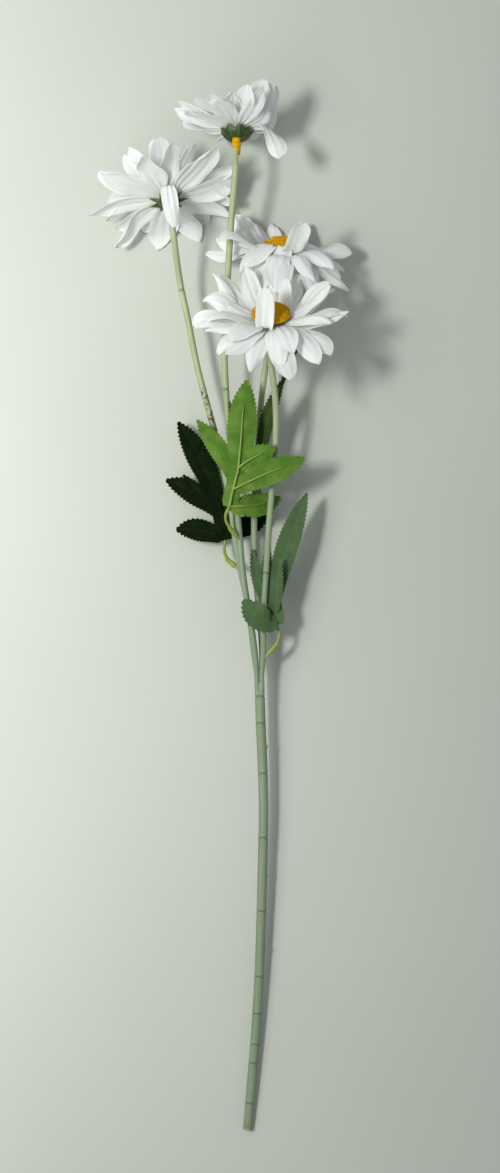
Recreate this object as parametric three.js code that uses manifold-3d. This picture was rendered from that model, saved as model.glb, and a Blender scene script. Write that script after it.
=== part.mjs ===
// Artificial daisy spray, lying on a flat surface.
//
// Units are millimetres. Seen from above, +Y runs from the cut end of the stem to the flowers,
// +X is to the right and +Z points up, away from the surface. While it is drawn, the spray is
// measured from the middle of its cut end. At the end the whole group moves to its own frame:
// the middle of its box in X and Y, and the surface that it lies on in Z.
//
// A hollow plastic lower stem holds four steel wires. Each wire runs on through a thinner branch
// stem to a flower head. A head is a fabric bloom of three petal layers on a hub, a green calyx
// behind it, and a yellow centre whose peg passes through both and takes the stem in a sleeve.
// Four lobed fabric leaves sit on plastic ribs, whose sleeves plug on pegs of the branch stems.

import * as THREE from 'three';
import Module from 'manifold-3d';

const wasm = await Module();
wasm.setup();

// ---- Driving dimensions ---------------------------------------------------------------------

const GAP = 0.3; // clearance between two pieces that touch

// Stems and wires
const LOWER_RADIUS_CUT = 2.95; // outer radius at the cut end
const LOWER_RADIUS_TOP = 3.2; // outer radius below the collar
const COLLAR_RADIUS = 3.5;
const COLLAR_LENGTH = 18;
const COLLAR_SHOULDER = 6; // length at full radius
const BORE_RADIUS = 1.85; // hole through the lower stem
const MOUTH_RADIUS = 3.0; // the same hole where it opens to the branches
const MOUTH_LENGTH = 18;
const GROOVE_DEPTH = 0.25; // ring mark of the mould
const GROOVE_LIP = 0.12;
const BRANCH_RADIUS = 2.0;
const BRANCH_ROOT_RADIUS = 1.25;
const BRANCH_ROOT_LENGTH = 20;
const BRANCH_TIP_RADIUS = 1.5; // inside the sleeve of the head
const BRANCH_TIP_LENGTH = 13;
const BRANCH_BORE = 0.85;
const WIRE_RADIUS = 0.5;
const STATION_PITCH = 36; // of the sections along a stem or wire
const LOWER_SIDES = 8; // of the polygons that stand for round sections
const BRANCH_SIDES = 6;
const BORE_SIDES = 5;
const WIRE_SIDES = 3;
const WIRE_OFFSET = 0.68; // sideways and up, inside the lower stem
const BRANCH_OFFSET = 1.56; // sideways and up, where the branches start

// Heads, measured along the axis of the head from the middle of its hub
const HUB_RADIUS = 6;
const HUB_HOLE = 3.1;
const HUB_HALF = 1.5;
const HUB_SIDES = 10;
const PETAL_ROOT = 4.4; // distance from the axis at which a petal starts
const PETAL_THICKNESS = 0.7;
const PETAL_FLAT = 8; // length of the flat base of a petal, under the yellow centre
const PETALS_PER_LAYER = 10;
const LAYER_HEIGHT = [-1, 0, 1];
const LAYER_RISE = [6, 14, 22]; // degrees, at the root
const LAYER_LENGTH = [43, 40.5, 37];
const LAYER_WIDTH = [14.2, 13.6, 13];
const SOFT_LANDING = 9; // height at which a petal starts to turn along the surface
const DISC_RADIUS = 12;
const DISC_SIDES = 10;
const DISC_RIM = 5.9; // height of the lower edge of the yellow disc
const DISC_TOP = 12.6;
const PEG_RADIUS = 2.75;
const SLEEVE_END = -15;
const SLEEVE_BORE = 1.85;
const SLEEVE_FLOOR = -9.2; // closed end of the sleeve
const SLEEVE_SLANT = 1.3; // rise of the sleeve's mouth per millimetre across
const STEM_TIP = -9.6; // end of the branch stem, inside the sleeve
const CALYX_FLOOR = -7.8;
const CALYX_WALL = 0.9;
const SEPALS = 9;
const STAR_GAP = 14; // point of the star calyx that is missing, to clear the hanging petal

// Leaves
const BLADE_THICKNESS = 0.8;
const SPINE_HALF_WIDTH = 3.4;
const RIB_RADIUS = 0.85;
const RIB_TIP_RADIUS = 0.5;
const RIB_REACH = 0.74; // of a lobe's length
const PETIOLE_RADIUS = 0.95;
const LEAF_SLEEVE_RADIUS = 1.65;
const LEAF_SLEEVE_BORE = 1.25;
const LEAF_SLEEVE_LENGTH = 8.5;
const LEAF_SLEEVE_START = 3.2; // from the foot of the peg, clear of the stem
const LEAF_PEG_RADIUS = 0.92;
const TOOTH_PITCH = 9;
const TOOTH_DEPTH = 1.0;

// ---- Placing: routes and poses, measured from the cut end -------------------------------------

const LOWER_ROUTE = [
  [0, 0, 3], [2.2, 25.3, 5], [5.1, 61.4, 7], [7.3, 97.5, 9.5], [8.6, 133.4, 12], [9.5, 169.2, 14],
  [10.2, 204.9, 16], [9.6, 231.7, 17.5], [8.4, 258.3, 19], [7.6, 285.6, 20.4],
];
const GROOVES = [17, 43, 55, 75, 99, 141, 188, 229, 261, 278]; // distance from the cut end
const SPURS = [116, 163, 245]; // small moulded spurs on the right-hand side

// side and rise say in which quarter of the lower stem the branch starts
const BRANCHES = [
  {
    side: -1,
    rise: 1,
    route: [
      [4.6, 304.6, 24.2], [2.6, 319.8, 25.6], [-0.9, 340.6, 26.9], [-3.2, 357.6, 27.6],
      [-4.8, 375.2, 28], [-5.9, 389, 28.4], [-7.2, 407.2, 29], [-10.8, 438.6, 30.5],
      [-13.1, 463.4, 33], [-14.3, 494.4, 37], [-12.7, 531.3, 42], [-10.2, 571.1, 47.5],
    ],
    grooves: [186],
  },
  {
    side: -1,
    rise: -1,
    route: [
      [4.2, 304.5, 18.6], [2.4, 319.7, 19.6], [-0.9, 340.6, 21.2], [-4.4, 357.6, 22.6],
      [-7.4, 375.2, 23.8], [-9.4, 389.1, 24.4], [-12.2, 407.3, 25], [-19.8, 440.7, 26],
      [-25.8, 462.6, 27], [-31.7, 485.2, 28.5], [-37.6, 515.1, 30.5], [-42.3, 537.4, 33],
    ],
    grooves: [160, 252],
  },
  {
    side: 1,
    rise: -1,
    route: [
      [9.4, 304.5, 18.2], [8.6, 317.8, 17.8], [7.2, 331.7, 17.6], [5.6, 350.7, 18],
      [4.3, 375.9, 19], [4.4, 394.9, 20], [5.4, 413.8, 21.5], [7.3, 444.5, 24],
      [9, 466.4, 26], [12.1, 490.8, 28], [15, 513, 29],
    ],
    grooves: [172],
  },
  {
    side: 1,
    rise: 1,
    route: [
      [9.9, 304.7, 24], [10, 318, 26.6], [10.7, 338.1, 29.8], [11.9, 357.5, 32.4],
      [12.8, 374.9, 34.4], [13.6, 386.1, 35.8], [15.1, 405.2, 38.2], [17.1, 426.7, 41.5],
      [17.8, 442.5, 44.8], [17.4, 461.3, 50], [15.7, 476, 55],
    ],
    grooves: [70, 150],
  },
];

// rise is the elevation of the petal tips in degrees: lift + front or back * |sin| + right * cos +
// sides * cos^2 of the azimuth, which runs from image right (0) towards the viewer above (90).
// arch * cos^2 is added to their arch, and face * cos to their twist.
const HEADS = [
  {
    hub: [-6.5, 631, 50],
    axis: [0.03, 0.96, -0.25],
    rise: { lift: 44, front: -36, back: 10, right: 32, sides: 6, arch: 0 },
    face: 0,
    bendEnd: 21,
    wide: 0.96,
    long: 0.86,
    turn: 0,
    sepals: 'cup',
    posed: [
      {
        layer: 0, index: 0, azimuth: 14, rise: -74, bendStart: 8, bendEnd: 20, length: 38, width: 13,
        twist: 76,
      },
      { layer: 0, index: 1, rise: 74, length: 36 },
      { layer: 1, index: 0, rise: 80 },
      { layer: 1, index: 1, rise: 66, length: 33 },
      { layer: 2, index: 0, rise: 84 },
      { layer: 2, index: 1, rise: 58 },
      { layer: 1, index: 4, azimuth: 159, rise: 8, width: 10 },
      { layer: 0, index: 5, azimuth: 170, rise: 20, arch: 0, twist: 30, length: 36, width: 11 },
      { layer: 0, index: 6, azimuth: 205, rise: 32, twist: -30, width: 10, length: 35 },
      { layer: 1, index: 5, azimuth: 186, rise: 28, arch: 0, length: 36, width: 11 },
    ],
  },
  {
    hub: [-50.3, 590.5, 35],
    axis: [-0.15, 0.85, -0.5],
    rise: { lift: -1, front: 4, back: -4, right: 0, sides: -3, arch: 10 },
    face: 0,
    bendEnd: 30,
    wide: 1.12,
    long: 1,
    turn: 4,
    sepals: 'star',
    posed: [
      {
        layer: 0, index: 2, azimuth: 88, rise: -98, bendStart: 3.5, bendEnd: 13, length: 40,
        width: 10.5, twist: 0, arch: 0, sway: 9,
      },
    ],
  },
  {
    hub: [21.4, 552.7, 34.5],
    axis: [0.08, 0.96, 0.2],
    rise: { lift: -26, front: -34, back: 34, right: -22, sides: -10, arch: 48 },
    face: 30,
    bendEnd: 24,
    wide: 1.12,
    long: 1,
    turn: 8,
    sepals: 'cup',
    posed: [
      { layer: 2, index: 1, azimuth: 72, rise: 52, width: 13, arch: 0, twist: 0 },
      {
        layer: 2, index: 2, azimuth: 92, bendStart: 6, bendEnd: 14, rise: -76, length: 31, width: 13,
        twist: 0,
      },
      {
        layer: 1, index: 3, azimuth: 130, bendStart: 7, bendEnd: 19, rise: -52, width: 15.5,
        twist: -12,
      },
      { layer: 2, index: 9, azimuth: 300, rise: 44, length: 32 },
      { layer: 0, index: 2, azimuth: 90, rise: -48, length: 41, arch: 0 },
      { layer: 0, index: 3, bendEnd: 18, rise: -66 },
      { layer: 0, index: 4, azimuth: 196, rise: -8, twist: -50, arch: 0, length: 46 },
      { layer: 0, index: 5, azimuth: 212, rise: -20, twist: -45 },
      { layer: 1, index: 4, azimuth: 188, rise: 8, twist: -45, arch: 0 },
      { layer: 2, index: 3, azimuth: 152, rise: -54, arch: 80, bendEnd: 20, length: 46, width: 12 },
      { layer: 2, index: 5, azimuth: 196, rise: 50, length: 40, arch: 0 },
      { layer: 2, index: 6, azimuth: 216, rise: 44, length: 42, arch: 0 },
    ],
  },
  {
    hub: [14.4, 506.8, 74],
    axis: [0, 0.82, 0.57],
    rise: { lift: -8, front: -18, back: 38, right: 4, sides: -22, arch: 62 },
    face: 8,
    bendEnd: 24,
    wide: 1,
    long: 1.03,
    turn: 0,
    sepals: 'cup',
    posed: [
      {
        layer: 2, index: 2, azimuth: 104, rise: 88, bendEnd: 12.5, width: 13, length: 36, twist: 0,
        cup: 0.45,
      },
      { layer: 2, index: 8, azimuth: 302, rise: 72, bendEnd: 15, width: 10, length: 29 },
    ],
  },
];

// A leaf: the peg's foot on its stem, the petiole up to the blade, and lobes along their midribs.
// ribs is +1 where the ribs are on the upper side and -1 where they are underneath.
const LEAVES = [
  {
    name: 'a',
    stem: 0,
    ribs: 1,
    peg: [[-5.4, 376.4, 29.2], [-9.2, 381, 33.6]],
    petiole: [[-13.4, 387.6, 38.6], [-13.4, 391.8, 40.9], [-11.5, 396.1, 42.6]],
    spine: [[-11.5, 396.1, 41], [-9.6, 404.2, 43], [-7.7, 411.6, 44.5], [-5.9, 419, 45.5]],
    lobes: [
      {
        path: [[-5.9, 417, 45.4], [-4, 437.5, 47.5], [-2.7, 454.9, 48], [-0.3, 474.9, 46]],
        width: 19.5,
      },
      {
        path: [[-7.1, 411.2, 44.5], [-14.6, 426.4, 46], [-22.7, 438.9, 45], [-31.4, 450.2, 43]],
        width: 13,
        plain: true,
      },
      { path: [[-5.4, 420.5, 45.7], [1, 425.1, 48], [7.2, 428.1, 49.5], [17.1, 432.4, 50]], width: 14 },
      {
        path: [
          [-7.9, 407.5, 43.8], [1.6, 412, 48], [12.7, 416.9, 51.5], [23.9, 421.1, 53],
          [35.6, 426.1, 53],
        ],
        width: 17,
      },
      {
        path: [
          [-11.4, 396.4, 41], [-2.8, 396.8, 40.3], [5.4, 397.6, 36], [12.9, 399.2, 32.5],
          [21.1, 402.1, 30],
        ],
        width: 16,
      },
    ],
  },
  {
    name: 'b',
    stem: 1,
    ribs: -1,
    peg: [[-5.6, 357.6, 22], [-10.4, 361.6, 18.8]],
    petiole: [[-14.4, 367.4, 15.2], [-14.8, 371.6, 14.2], [-14.2, 376, 14]],
    spine: [[-14.2, 376, 15.6], [-15.5, 385.5, 15], [-17.4, 393.8, 14.6], [-18.7, 400, 14.6]],
    lobes: [
      {
        path: [[-18.4, 398, 14.6], [-25, 417.2, 15.5], [-33.9, 434.4, 15], [-44.1, 451, 13]],
        width: 17,
      },
      {
        path: [[-17, 393, 14.6], [-27.6, 401.3, 14.5], [-39, 408.7, 14], [-51.8, 414.2, 12]],
        width: 15,
      },
      { path: [[-24, 399.5, 14.5], [-32.6, 408.6, 16], [-40.9, 417.2, 16.6]], width: 7, plain: true },
      {
        path: [[-14.4, 377.8, 15.5], [-25.7, 381.1, 15], [-35.2, 383, 13.5], [-45.4, 382.5, 11]],
        width: 15,
      },
      { path: [[-14.6, 380.5, 15.3], [-6, 383, 14], [2.9, 386.2, 13], [13, 390.7, 12]], width: 14 },
    ],
  },
  {
    name: 'c',
    stem: 3,
    ribs: -1,
    peg: [[11.4, 302, 24], [15, 306.2, 25]],
    petiole: [[19.9, 314.6, 26.3], [19.8, 318.4, 26.4], [19.2, 321.5, 26.6]],
    spine: [[18.6, 322.5, 28.6], [17.4, 330, 28.6], [15.8, 337, 28.4]],
    lobes: [
      { path: [[16, 335.4, 28.4], [21.1, 358.2, 29.4], [28, 380.8, 29], [37.5, 405.4, 27]], width: 15 },
      {
        path: [
          [17, 331.4, 28.4], [14.8, 334.2, 28.2], [12.5, 336.9, 26.3], [9.2, 343, 24.2],
          [6, 353.8, 23.8], [2.9, 370.2, 24.4],
        ],
        width: 8.8,
      },
      {
        path: [[17.2, 330, 28.8], [18, 341, 33.6], [18.6, 353, 36.6], [20.6, 364, 37.6]],
        width: 9,
        plain: true,
      },
      {
        path: [[18.2, 325.8, 28.8], [13.6, 323.8, 33.2], [6.6, 327.4, 36.2], [-2.8, 338.1, 35.4]],
        width: 16,
        plain: true,
      },
      {
        path: [[15, 336.5, 28.5], [12.2, 347.4, 26.2], [12.2, 361.3, 26.2], [13.4, 373.3, 26.8]],
        width: 8,
        plain: true,
      },
    ],
  },
  {
    name: 'd',
    stem: 2,
    ribs: -1,
    peg: [[4.8, 396.9, 21.4], [5.8, 399.4, 25.2]],
    petiole: [[7.2, 404.6, 30], [8, 409, 31], [8.6, 413.2, 30.6]],
    spine: [[8.4, 413.2, 32.2], [9.1, 419.7, 32.6], [9.8, 425, 32.8]],
    lobes: [
      {
        path: [[9.4, 421.7, 32.6], [9.4, 434, 34], [12.2, 450, 37], [17.2, 464, 40], [22.6, 476.4, 42]],
        width: 10,
      },
      {
        path: [[20.6, 470, 41.4], [23.6, 478.4, 42.6], [27, 486.4, 44.4], [31.4, 495.3, 46]],
        width: 4,
        plain: true,
      },
      { path: [[8.8, 420.2, 32.6], [0.3, 434.5, 36], [-6.5, 448, 39], [-11.5, 462.3, 40]], width: 9 },
    ],
  },
];

// ---- Mesh helpers -----------------------------------------------------------------------------

const UP = new THREE.Vector3(0, 0, 1);
const RIGHT = new THREE.Vector3(1, 0, 0);
const { clamp, degToRad, lerp, smoothstep } = THREE.MathUtils;

const vector = (list) => new THREE.Vector3(...list);
const curveThrough = (points) => new THREE.CatmullRomCurve3(points, false, 'centripetal');

// A repeatable draw from -1 to 1 for a whole number.
function draw(seed) {
  const value = Math.sin(seed * 127.1 + 311.7) * 43758.5453;
  return 2 * (value - Math.floor(value)) - 1;
}

// A closed body through rings that have the same number of points. With loop, the last ring
// joins the first, else both ends are capped. With mirrored, panels are split alike on the two
// faces of a four-point blade section.
function skin(rings, { loop = false, mirrored = false } = {}) {
  const size = rings[0].length;
  const spans = loop ? rings.length : rings.length - 1;
  const faces = [];
  for (let i = 0; i < spans; i += 1) {
    const here = i * size;
    const next = ((i + 1) % rings.length) * size;
    for (let j = 0; j < size; j += 1) {
      const k = (j + 1) % size;
      if (mirrored && j % 2 === 1) {
        faces.push([here + j, here + k, next + j], [here + k, next + k, next + j]);
      } else {
        faces.push([here + j, here + k, next + k], [here + j, next + k, next + j]);
      }
    }
  }
  if (!loop) {
    const last = (rings.length - 1) * size;
    for (let j = 1; j < size - 1; j += 1) {
      faces.push([0, j + 1, j], [last, last + j, last + j + 1]);
    }
  }
  return solid(rings.flat(), faces);
}

// A manifold solid from points and faces, turned so that its faces point out.
function solid(points, faces) {
  const volume = faces.reduce((sum, [a, b, c]) => {
    return sum + points[a].dot(points[b].clone().cross(points[c]));
  }, 0);
  const outward = volume < 0 ? faces.map(([a, b, c]) => [a, c, b]) : faces;
  return new wasm.Manifold(new wasm.Mesh({
    numProp: 3,
    vertProperties: new Float32Array(points.flatMap((point) => point.toArray())),
    triVerts: new Uint32Array(outward.flat()),
  }));
}

const fuse = (solids) => wasm.Manifold.union(solids);

function circle(centre, side, up, radius, sides) {
  const ring = [];
  for (let i = 0; i < sides; i += 1) {
    const angle = (2 * Math.PI * (i + 0.5)) / sides;
    const point = centre.clone();
    point.addScaledVector(side, radius * Math.cos(angle));
    point.addScaledVector(up, radius * Math.sin(angle));
    ring.push(point);
  }
  return ring;
}

// Frames along a curve, without twist: side stays level.
function framesAlong(curve, distances) {
  const length = curve.getLength();
  return distances.map((distance) => {
    const at = clamp(distance / length, 0, 1);
    const tangent = curve.getTangentAt(at);
    const side = tangent.clone().cross(UP).normalize();
    const up = side.clone().cross(tangent);
    return { centre: curve.getPointAt(at), tangent, side, up, distance };
  });
}

function tube(frames, radiusAt, sides) {
  return skin(frames.map((frame) => {
    return circle(frame.centre, frame.side, frame.up, radiusAt(frame.distance), sides);
  }));
}

// A straight round bar between two points.
function bar(start, end, startRadius, endRadius, sides) {
  const tangent = end.clone().sub(start).normalize();
  const side = tangent.clone().cross(Math.abs(tangent.z) > 0.9 ? RIGHT : UP).normalize();
  const up = side.clone().cross(tangent);
  return skin([
    circle(start, side, up, startRadius, sides),
    circle(end, side, up, endRadius, sides),
  ]);
}

// A body of revolution about the axis of a head; rows are [radius, height]. A row may be a
// function of the azimuth that gives the two.
function turned(rows, sides, { loop = false } = {}) {
  return skin(rows.map((row) => {
    const ring = [];
    for (let i = 0; i < sides; i += 1) {
      const angle = (2 * Math.PI * i) / sides;
      const [radius, height] = typeof row === 'function' ? row(i, angle) : row;
      ring.push(new THREE.Vector3(radius * Math.cos(angle), radius * Math.sin(angle), height));
    }
    return ring;
  }), { loop });
}

const group = new THREE.Group();

function addNode(name, body, { color, roughness, metalness = 0 }) {
  const mesh = body.getMesh();
  const geometry = new THREE.BufferGeometry();
  const positions = new Float32Array(mesh.vertProperties);
  geometry.setAttribute('position', new THREE.BufferAttribute(positions, 3));
  geometry.setIndex(new THREE.BufferAttribute(new Uint32Array(mesh.triVerts), 1));
  geometry.computeVertexNormals();
  const material = new THREE.MeshStandardMaterial({ color, roughness, metalness });
  const node = new THREE.Mesh(geometry, material);
  node.name = name;
  group.add(node);
}

// ---- Materials ----------------------------------------------------------------------------------

const STEM_PLASTIC = { color: 0x7d967a, roughness: 0.55 };
const STEEL = { color: 0x8a8a88, roughness: 0.4, metalness: 1 };
const PETAL_FABRIC = { color: 0xf2f3f6, roughness: 0.7 };
const DISC_PLASTIC = { color: 0xd9a404, roughness: 0.6 };
const CALYX_PLASTIC = { color: 0x4b6b26, roughness: 0.5 };
const LEAF_FABRIC = { color: 0x3f6b2c, roughness: 0.8 };
const RIB_PLASTIC = { color: 0x8fa23c, roughness: 0.5 };

// ---- Heads --------------------------------------------------------------------------------------

// The frame of a head: its axis, u to the image right and w towards the viewer above.
function headFrame(head) {
  const axis = vector(head.axis).normalize();
  const u = RIGHT.clone().addScaledVector(axis, -RIGHT.dot(axis)).normalize();
  const w = u.clone().cross(axis);
  return { hub: vector(head.hub), axis, u, w };
}

function placeOnHead(body, { hub, axis, u }) {
  const matrix = new THREE.Matrix4().makeBasis(u, axis.clone().cross(u), axis).setPosition(hub);
  return body.transform(matrix.toArray());
}

// The petals of one head: three layers by rule, with a seeded draw for each, then the posed ones.
function petalsOf(head, headIndex) {
  const petals = [];
  LAYER_RISE.forEach((rootRise, layer) => {
    for (let index = 0; index < PETALS_PER_LAYER; index += 1) {
      const seed = 1000 * headIndex + 100 * layer + 7 * index;
      const spacing = 360 / PETALS_PER_LAYER;
      const azimuth = head.turn + spacing * (index + layer / 3) + 4 * draw(seed);
      const angle = degToRad(azimuth);
      const { lift, front, back, right, sides, arch } = head.rise;
      const nearOrFar = (Math.sin(angle) > 0 ? front : back) * Math.abs(Math.sin(angle));
      const swing = nearOrFar + right * Math.cos(angle) + sides * Math.cos(angle) ** 2;
      const rule = {
        azimuth,
        rootRise,
        height: LAYER_HEIGHT[layer],
        rise: lift + swing + 3 * (layer - 1) + 11 * draw(seed + 1),
        bendStart: PETAL_FLAT,
        bendEnd: head.bendEnd,
        length: head.long * LAYER_LENGTH[layer] + 2.2 * draw(seed + 2),
        width: head.wide * LAYER_WIDTH[layer] + 0.9 * draw(seed + 3),
        twist: 23 * draw(seed + 4) + head.face * Math.cos(angle),
        sway: 13 * draw(seed + 5),
        arch: 11 * draw(seed + 6) + arch * Math.cos(angle) ** 2,
        cup: 0.2 + 0.08 * draw(seed + 7),
      };
      const posed = head.posed.find((petal) => petal.layer === layer && petal.index === index);
      petals.push({ ...rule, ...posed });
    }
  });
  return petals;
}

// Turns a direction that would run into the surface along it.
function landSoftly(direction, point) {
  const steepest = Math.sqrt(clamp((point.z - PETAL_THICKNESS / 2) / SOFT_LANDING, 0, 1));
  if (-direction.z <= steepest) {
    return direction;
  }
  const level = Math.sqrt(1 - steepest * steepest) / Math.hypot(direction.x, direction.y);
  return new THREE.Vector3(direction.x * level, direction.y * level, -steepest);
}

// Width of a petal, as a share of its full width, at a share of its length.
function petalOutline(share) {
  const body = 0.19 + 0.81 * smoothstep(share, 0, 0.6);
  const tip = share < 0.58 ? 1 : Math.max(0, 1 - ((share - 0.58) / 0.42) ** 2.1) ** 0.65;
  return body * Math.max(tip, 0.3);
}

const PETAL_SHARES = [0, 0.25, 0.55, 0.85, 1];

// The left, middle and right line of a petal, walked from its root in steps of about a millimetre.
function petalLines(frame, petal) {
  const angle = degToRad(petal.azimuth);
  const outward = frame.u.clone().multiplyScalar(Math.cos(angle));
  outward.addScaledVector(frame.w, Math.sin(angle));
  const across = frame.u.clone().multiplyScalar(-Math.sin(angle));
  across.addScaledVector(frame.w, Math.cos(angle));
  const point = frame.hub.clone();
  point.addScaledVector(outward, PETAL_ROOT).addScaledVector(frame.axis, petal.height);
  const stride = petal.length / 40;
  const lines = [];
  for (let step = 0; step <= 40; step += 1) {
    const share = step / 40;
    const travelled = share * petal.length;
    const bend = smoothstep(travelled, petal.bendStart, petal.bendEnd);
    const arch = petal.arch * Math.sin(Math.PI * share) * bend;
    const rise = degToRad(lerp(petal.rootRise, petal.rise, bend) + arch);
    const sway = degToRad(petal.sway * share);
    const twist = degToRad(petal.twist * smoothstep(share, 0.2, 0.9));
    const forward = outward.clone().multiplyScalar(Math.cos(sway));
    forward.addScaledVector(across, Math.sin(sway));
    let direction = forward.multiplyScalar(Math.cos(rise)).addScaledVector(frame.axis, Math.sin(rise));
    direction = landSoftly(direction, point);
    const side = across.clone().addScaledVector(direction, -across.dot(direction));
    side.z *= clamp(point.z / SOFT_LANDING, 0, 1);
    side.normalize();
    const front = direction.clone().cross(side);
    const width = side.multiplyScalar(Math.cos(twist)).addScaledVector(front, Math.sin(twist));
    const normal = direction.clone().cross(width).normalize();
    lines.push({ middle: point.clone(), width: width.clone(), normal, share });
    point.addScaledVector(direction, stride);
  }
  return lines;
}

function petalBody(frame, petal) {
  const lines = petalLines(frame, petal);
  const rings = PETAL_SHARES.map((share) => {
    const { middle, width, normal } = lines[Math.round(share * 40)];
    const half = 0.5 * petal.width * petalOutline(share);
    const edge = (sign) => {
      return middle.clone().addScaledVector(width, sign * half).addScaledVector(normal, petal.cup * half);
    };
    const top = middle.clone().addScaledVector(normal, PETAL_THICKNESS / 2);
    const bottom = middle.clone().addScaledVector(normal, -PETAL_THICKNESS / 2);
    const ring = [edge(1), top, edge(-1), bottom];
    const lowest = Math.min(...ring.map((corner) => corner.z));
    ring.forEach((corner) => {
      corner.z += Math.max(0, -lowest);
    });
    return ring;
  });
  return skin(rings, { mirrored: true });
}

function bloom(head, headIndex) {
  const frame = headFrame(head);
  const hub = turned([
    [HUB_HOLE, -HUB_HALF], [HUB_RADIUS, -HUB_HALF], [HUB_RADIUS, HUB_HALF], [HUB_HOLE, HUB_HALF],
  ], HUB_SIDES, { loop: true });
  const petals = petalsOf(head, headIndex).map((petal) => petalBody(frame, petal));
  return fuse([placeOnHead(hub, frame), ...petals]);
}

// The yellow disc, its peg and the sleeve with a slanted mouth that takes the stem.
function centre(frame) {
  const mouthAt = (radius, angle) => SLEEVE_END - SLEEVE_SLANT * radius * Math.cos(angle);
  const slanted = (radius) => (index, angle) => [radius, mouthAt(radius, angle)];
  return placeOnHead(turned([
    [2.5, DISC_TOP],
    [6.6, DISC_TOP - 0.9],
    [10.2, DISC_TOP - 3.2],
    [DISC_RADIUS, DISC_RIM + 1.2],
    [DISC_RADIUS - 0.3, DISC_RIM],
    [3.4, HUB_HALF + GAP],
    [PEG_RADIUS, HUB_HALF + GAP],
    slanted(PEG_RADIUS - 0.1),
    slanted(SLEEVE_BORE),
    [SLEEVE_BORE, SLEEVE_FLOOR],
  ], DISC_SIDES), frame);
}

// The calyx: a cup or a flat star, with a wall from its floor, whose rim has a point at each sepal.
function calyx(head, frame) {
  const isTip = (index) => index % 2 === 0;
  const shapes = {
    cup: {
      wall: [[4.8, CALYX_FLOOR], [8.4, -5.4]],
      tip: [10.4, -1.9],
      notch: [9.5, -3.6],
    },
    star: {
      wall: [[4.6, CALYX_FLOOR], [6.2, -5.8]],
      tip: [13, -3.1],
      notch: [6.9, -4.2],
    },
  };
  const { wall, tip, notch } = shapes[head.sepals];
  const dropped = head.sepals === 'star' ? STAR_GAP : null;
  const rim = (inset) => (index) => {
    const [radius, height] = isTip(index) && index !== dropped ? tip : notch;
    return [radius - inset, height + inset];
  };
  const rows = [
    [HUB_HOLE, CALYX_FLOOR],
    ...wall,
    rim(0),
    [wall[1][0] - CALYX_WALL, wall[1][1] + CALYX_WALL],
    [HUB_HOLE, CALYX_FLOOR + CALYX_WALL],
  ];
  return placeOnHead(turned(rows, 2 * SEPALS, { loop: true }), frame);
}

// ---- Stems and wires ----------------------------------------------------------------------------

const lowerCurve = curveThrough(LOWER_ROUTE.map(vector));
const lowerLength = lowerCurve.getLength();

function sortedDistances(list) {
  return [...new Set(list)].sort((a, b) => a - b);
}

function evenDistances(start, end, step) {
  const count = Math.max(1, Math.round((end - start) / step));
  return Array.from({ length: count + 1 }, (_, index) => lerp(start, end, index / count));
}

// Ring marks: a groove between two raised lips.
const grooveStations = (marks) => marks.flatMap((mark) => [mark - 1.4, mark, mark + 1.4]);

function grooved(distance, marks) {
  return marks.reduce((change, mark) => {
    const away = Math.abs(distance - mark);
    if (away < 0.5) {
      return change - GROOVE_DEPTH;
    }
    return away < 2 ? change + GROOVE_LIP : change;
  }, 0);
}

function lowerRadius(distance) {
  const plain = lerp(LOWER_RADIUS_CUT, LOWER_RADIUS_TOP, distance / lowerLength);
  const collar = smoothstep(distance, lowerLength - COLLAR_LENGTH, lowerLength - COLLAR_SHOULDER);
  return lerp(plain, COLLAR_RADIUS, collar) + grooved(distance, GROOVES);
}

const boreDistances = sortedDistances([
  ...evenDistances(0, lowerLength - MOUTH_LENGTH, STATION_PITCH),
  lowerLength - MOUTH_LENGTH / 2,
  lowerLength,
]);
const mouthOpening = (distance) => smoothstep(distance, lowerLength - MOUTH_LENGTH, lowerLength);
const boreRadius = (distance) => lerp(BORE_RADIUS, MOUTH_RADIUS, mouthOpening(distance));

// Moves the two end frames of a hole out past the faces that it opens.
function overrun(frames) {
  const first = frames[0];
  const last = frames[frames.length - 1];
  const before = { ...first, centre: first.centre.clone().addScaledVector(first.tangent, -1) };
  const after = { ...last, centre: last.centre.clone().addScaledVector(last.tangent, 1) };
  return [before, ...frames, after];
}

function lowerStem() {
  const marks = sortedDistances([
    ...evenDistances(0, lowerLength, STATION_PITCH),
    ...grooveStations(GROOVES),
    lowerLength - COLLAR_LENGTH,
    lowerLength - COLLAR_SHOULDER,
  ]);
  const outside = tube(framesAlong(lowerCurve, marks), lowerRadius, LOWER_SIDES);
  const spurs = framesAlong(lowerCurve, SPURS).map(({ centre: foot, tangent, side }) => {
    const root = foot.clone().addScaledVector(side, 2.3);
    const tip = foot.clone().addScaledVector(side, 4.2).addScaledVector(tangent, 1.6);
    return bar(root, tip, 1.1, 0.4, 6);
  });
  const hole = tube(overrun(framesAlong(lowerCurve, boreDistances)), boreRadius, LOWER_SIDES);
  return fuse([outside, ...spurs]).subtract(hole);
}

function branchCurve(branch, frame) {
  const top = framesAlong(lowerCurve, [lowerLength])[0];
  const root = top.centre.clone().addScaledVector(top.tangent, GAP);
  root.addScaledVector(top.side, branch.side * BRANCH_OFFSET);
  root.addScaledVector(top.up, branch.rise * BRANCH_OFFSET);
  const straight = root.clone().addScaledVector(top.tangent, 5);
  const tip = [26, 17.5, -STEM_TIP].map((depth) => {
    return frame.hub.clone().addScaledVector(frame.axis, -depth);
  });
  return curveThrough([root, straight, ...branch.route.map(vector), ...tip]);
}

function branchDistances(length) {
  return sortedDistances([
    0, 10, ...evenDistances(BRANCH_ROOT_LENGTH, length - 30, STATION_PITCH), length - 20,
    length - BRANCH_TIP_LENGTH - 2, length - BRANCH_TIP_LENGTH, length,
  ]);
}

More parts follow.
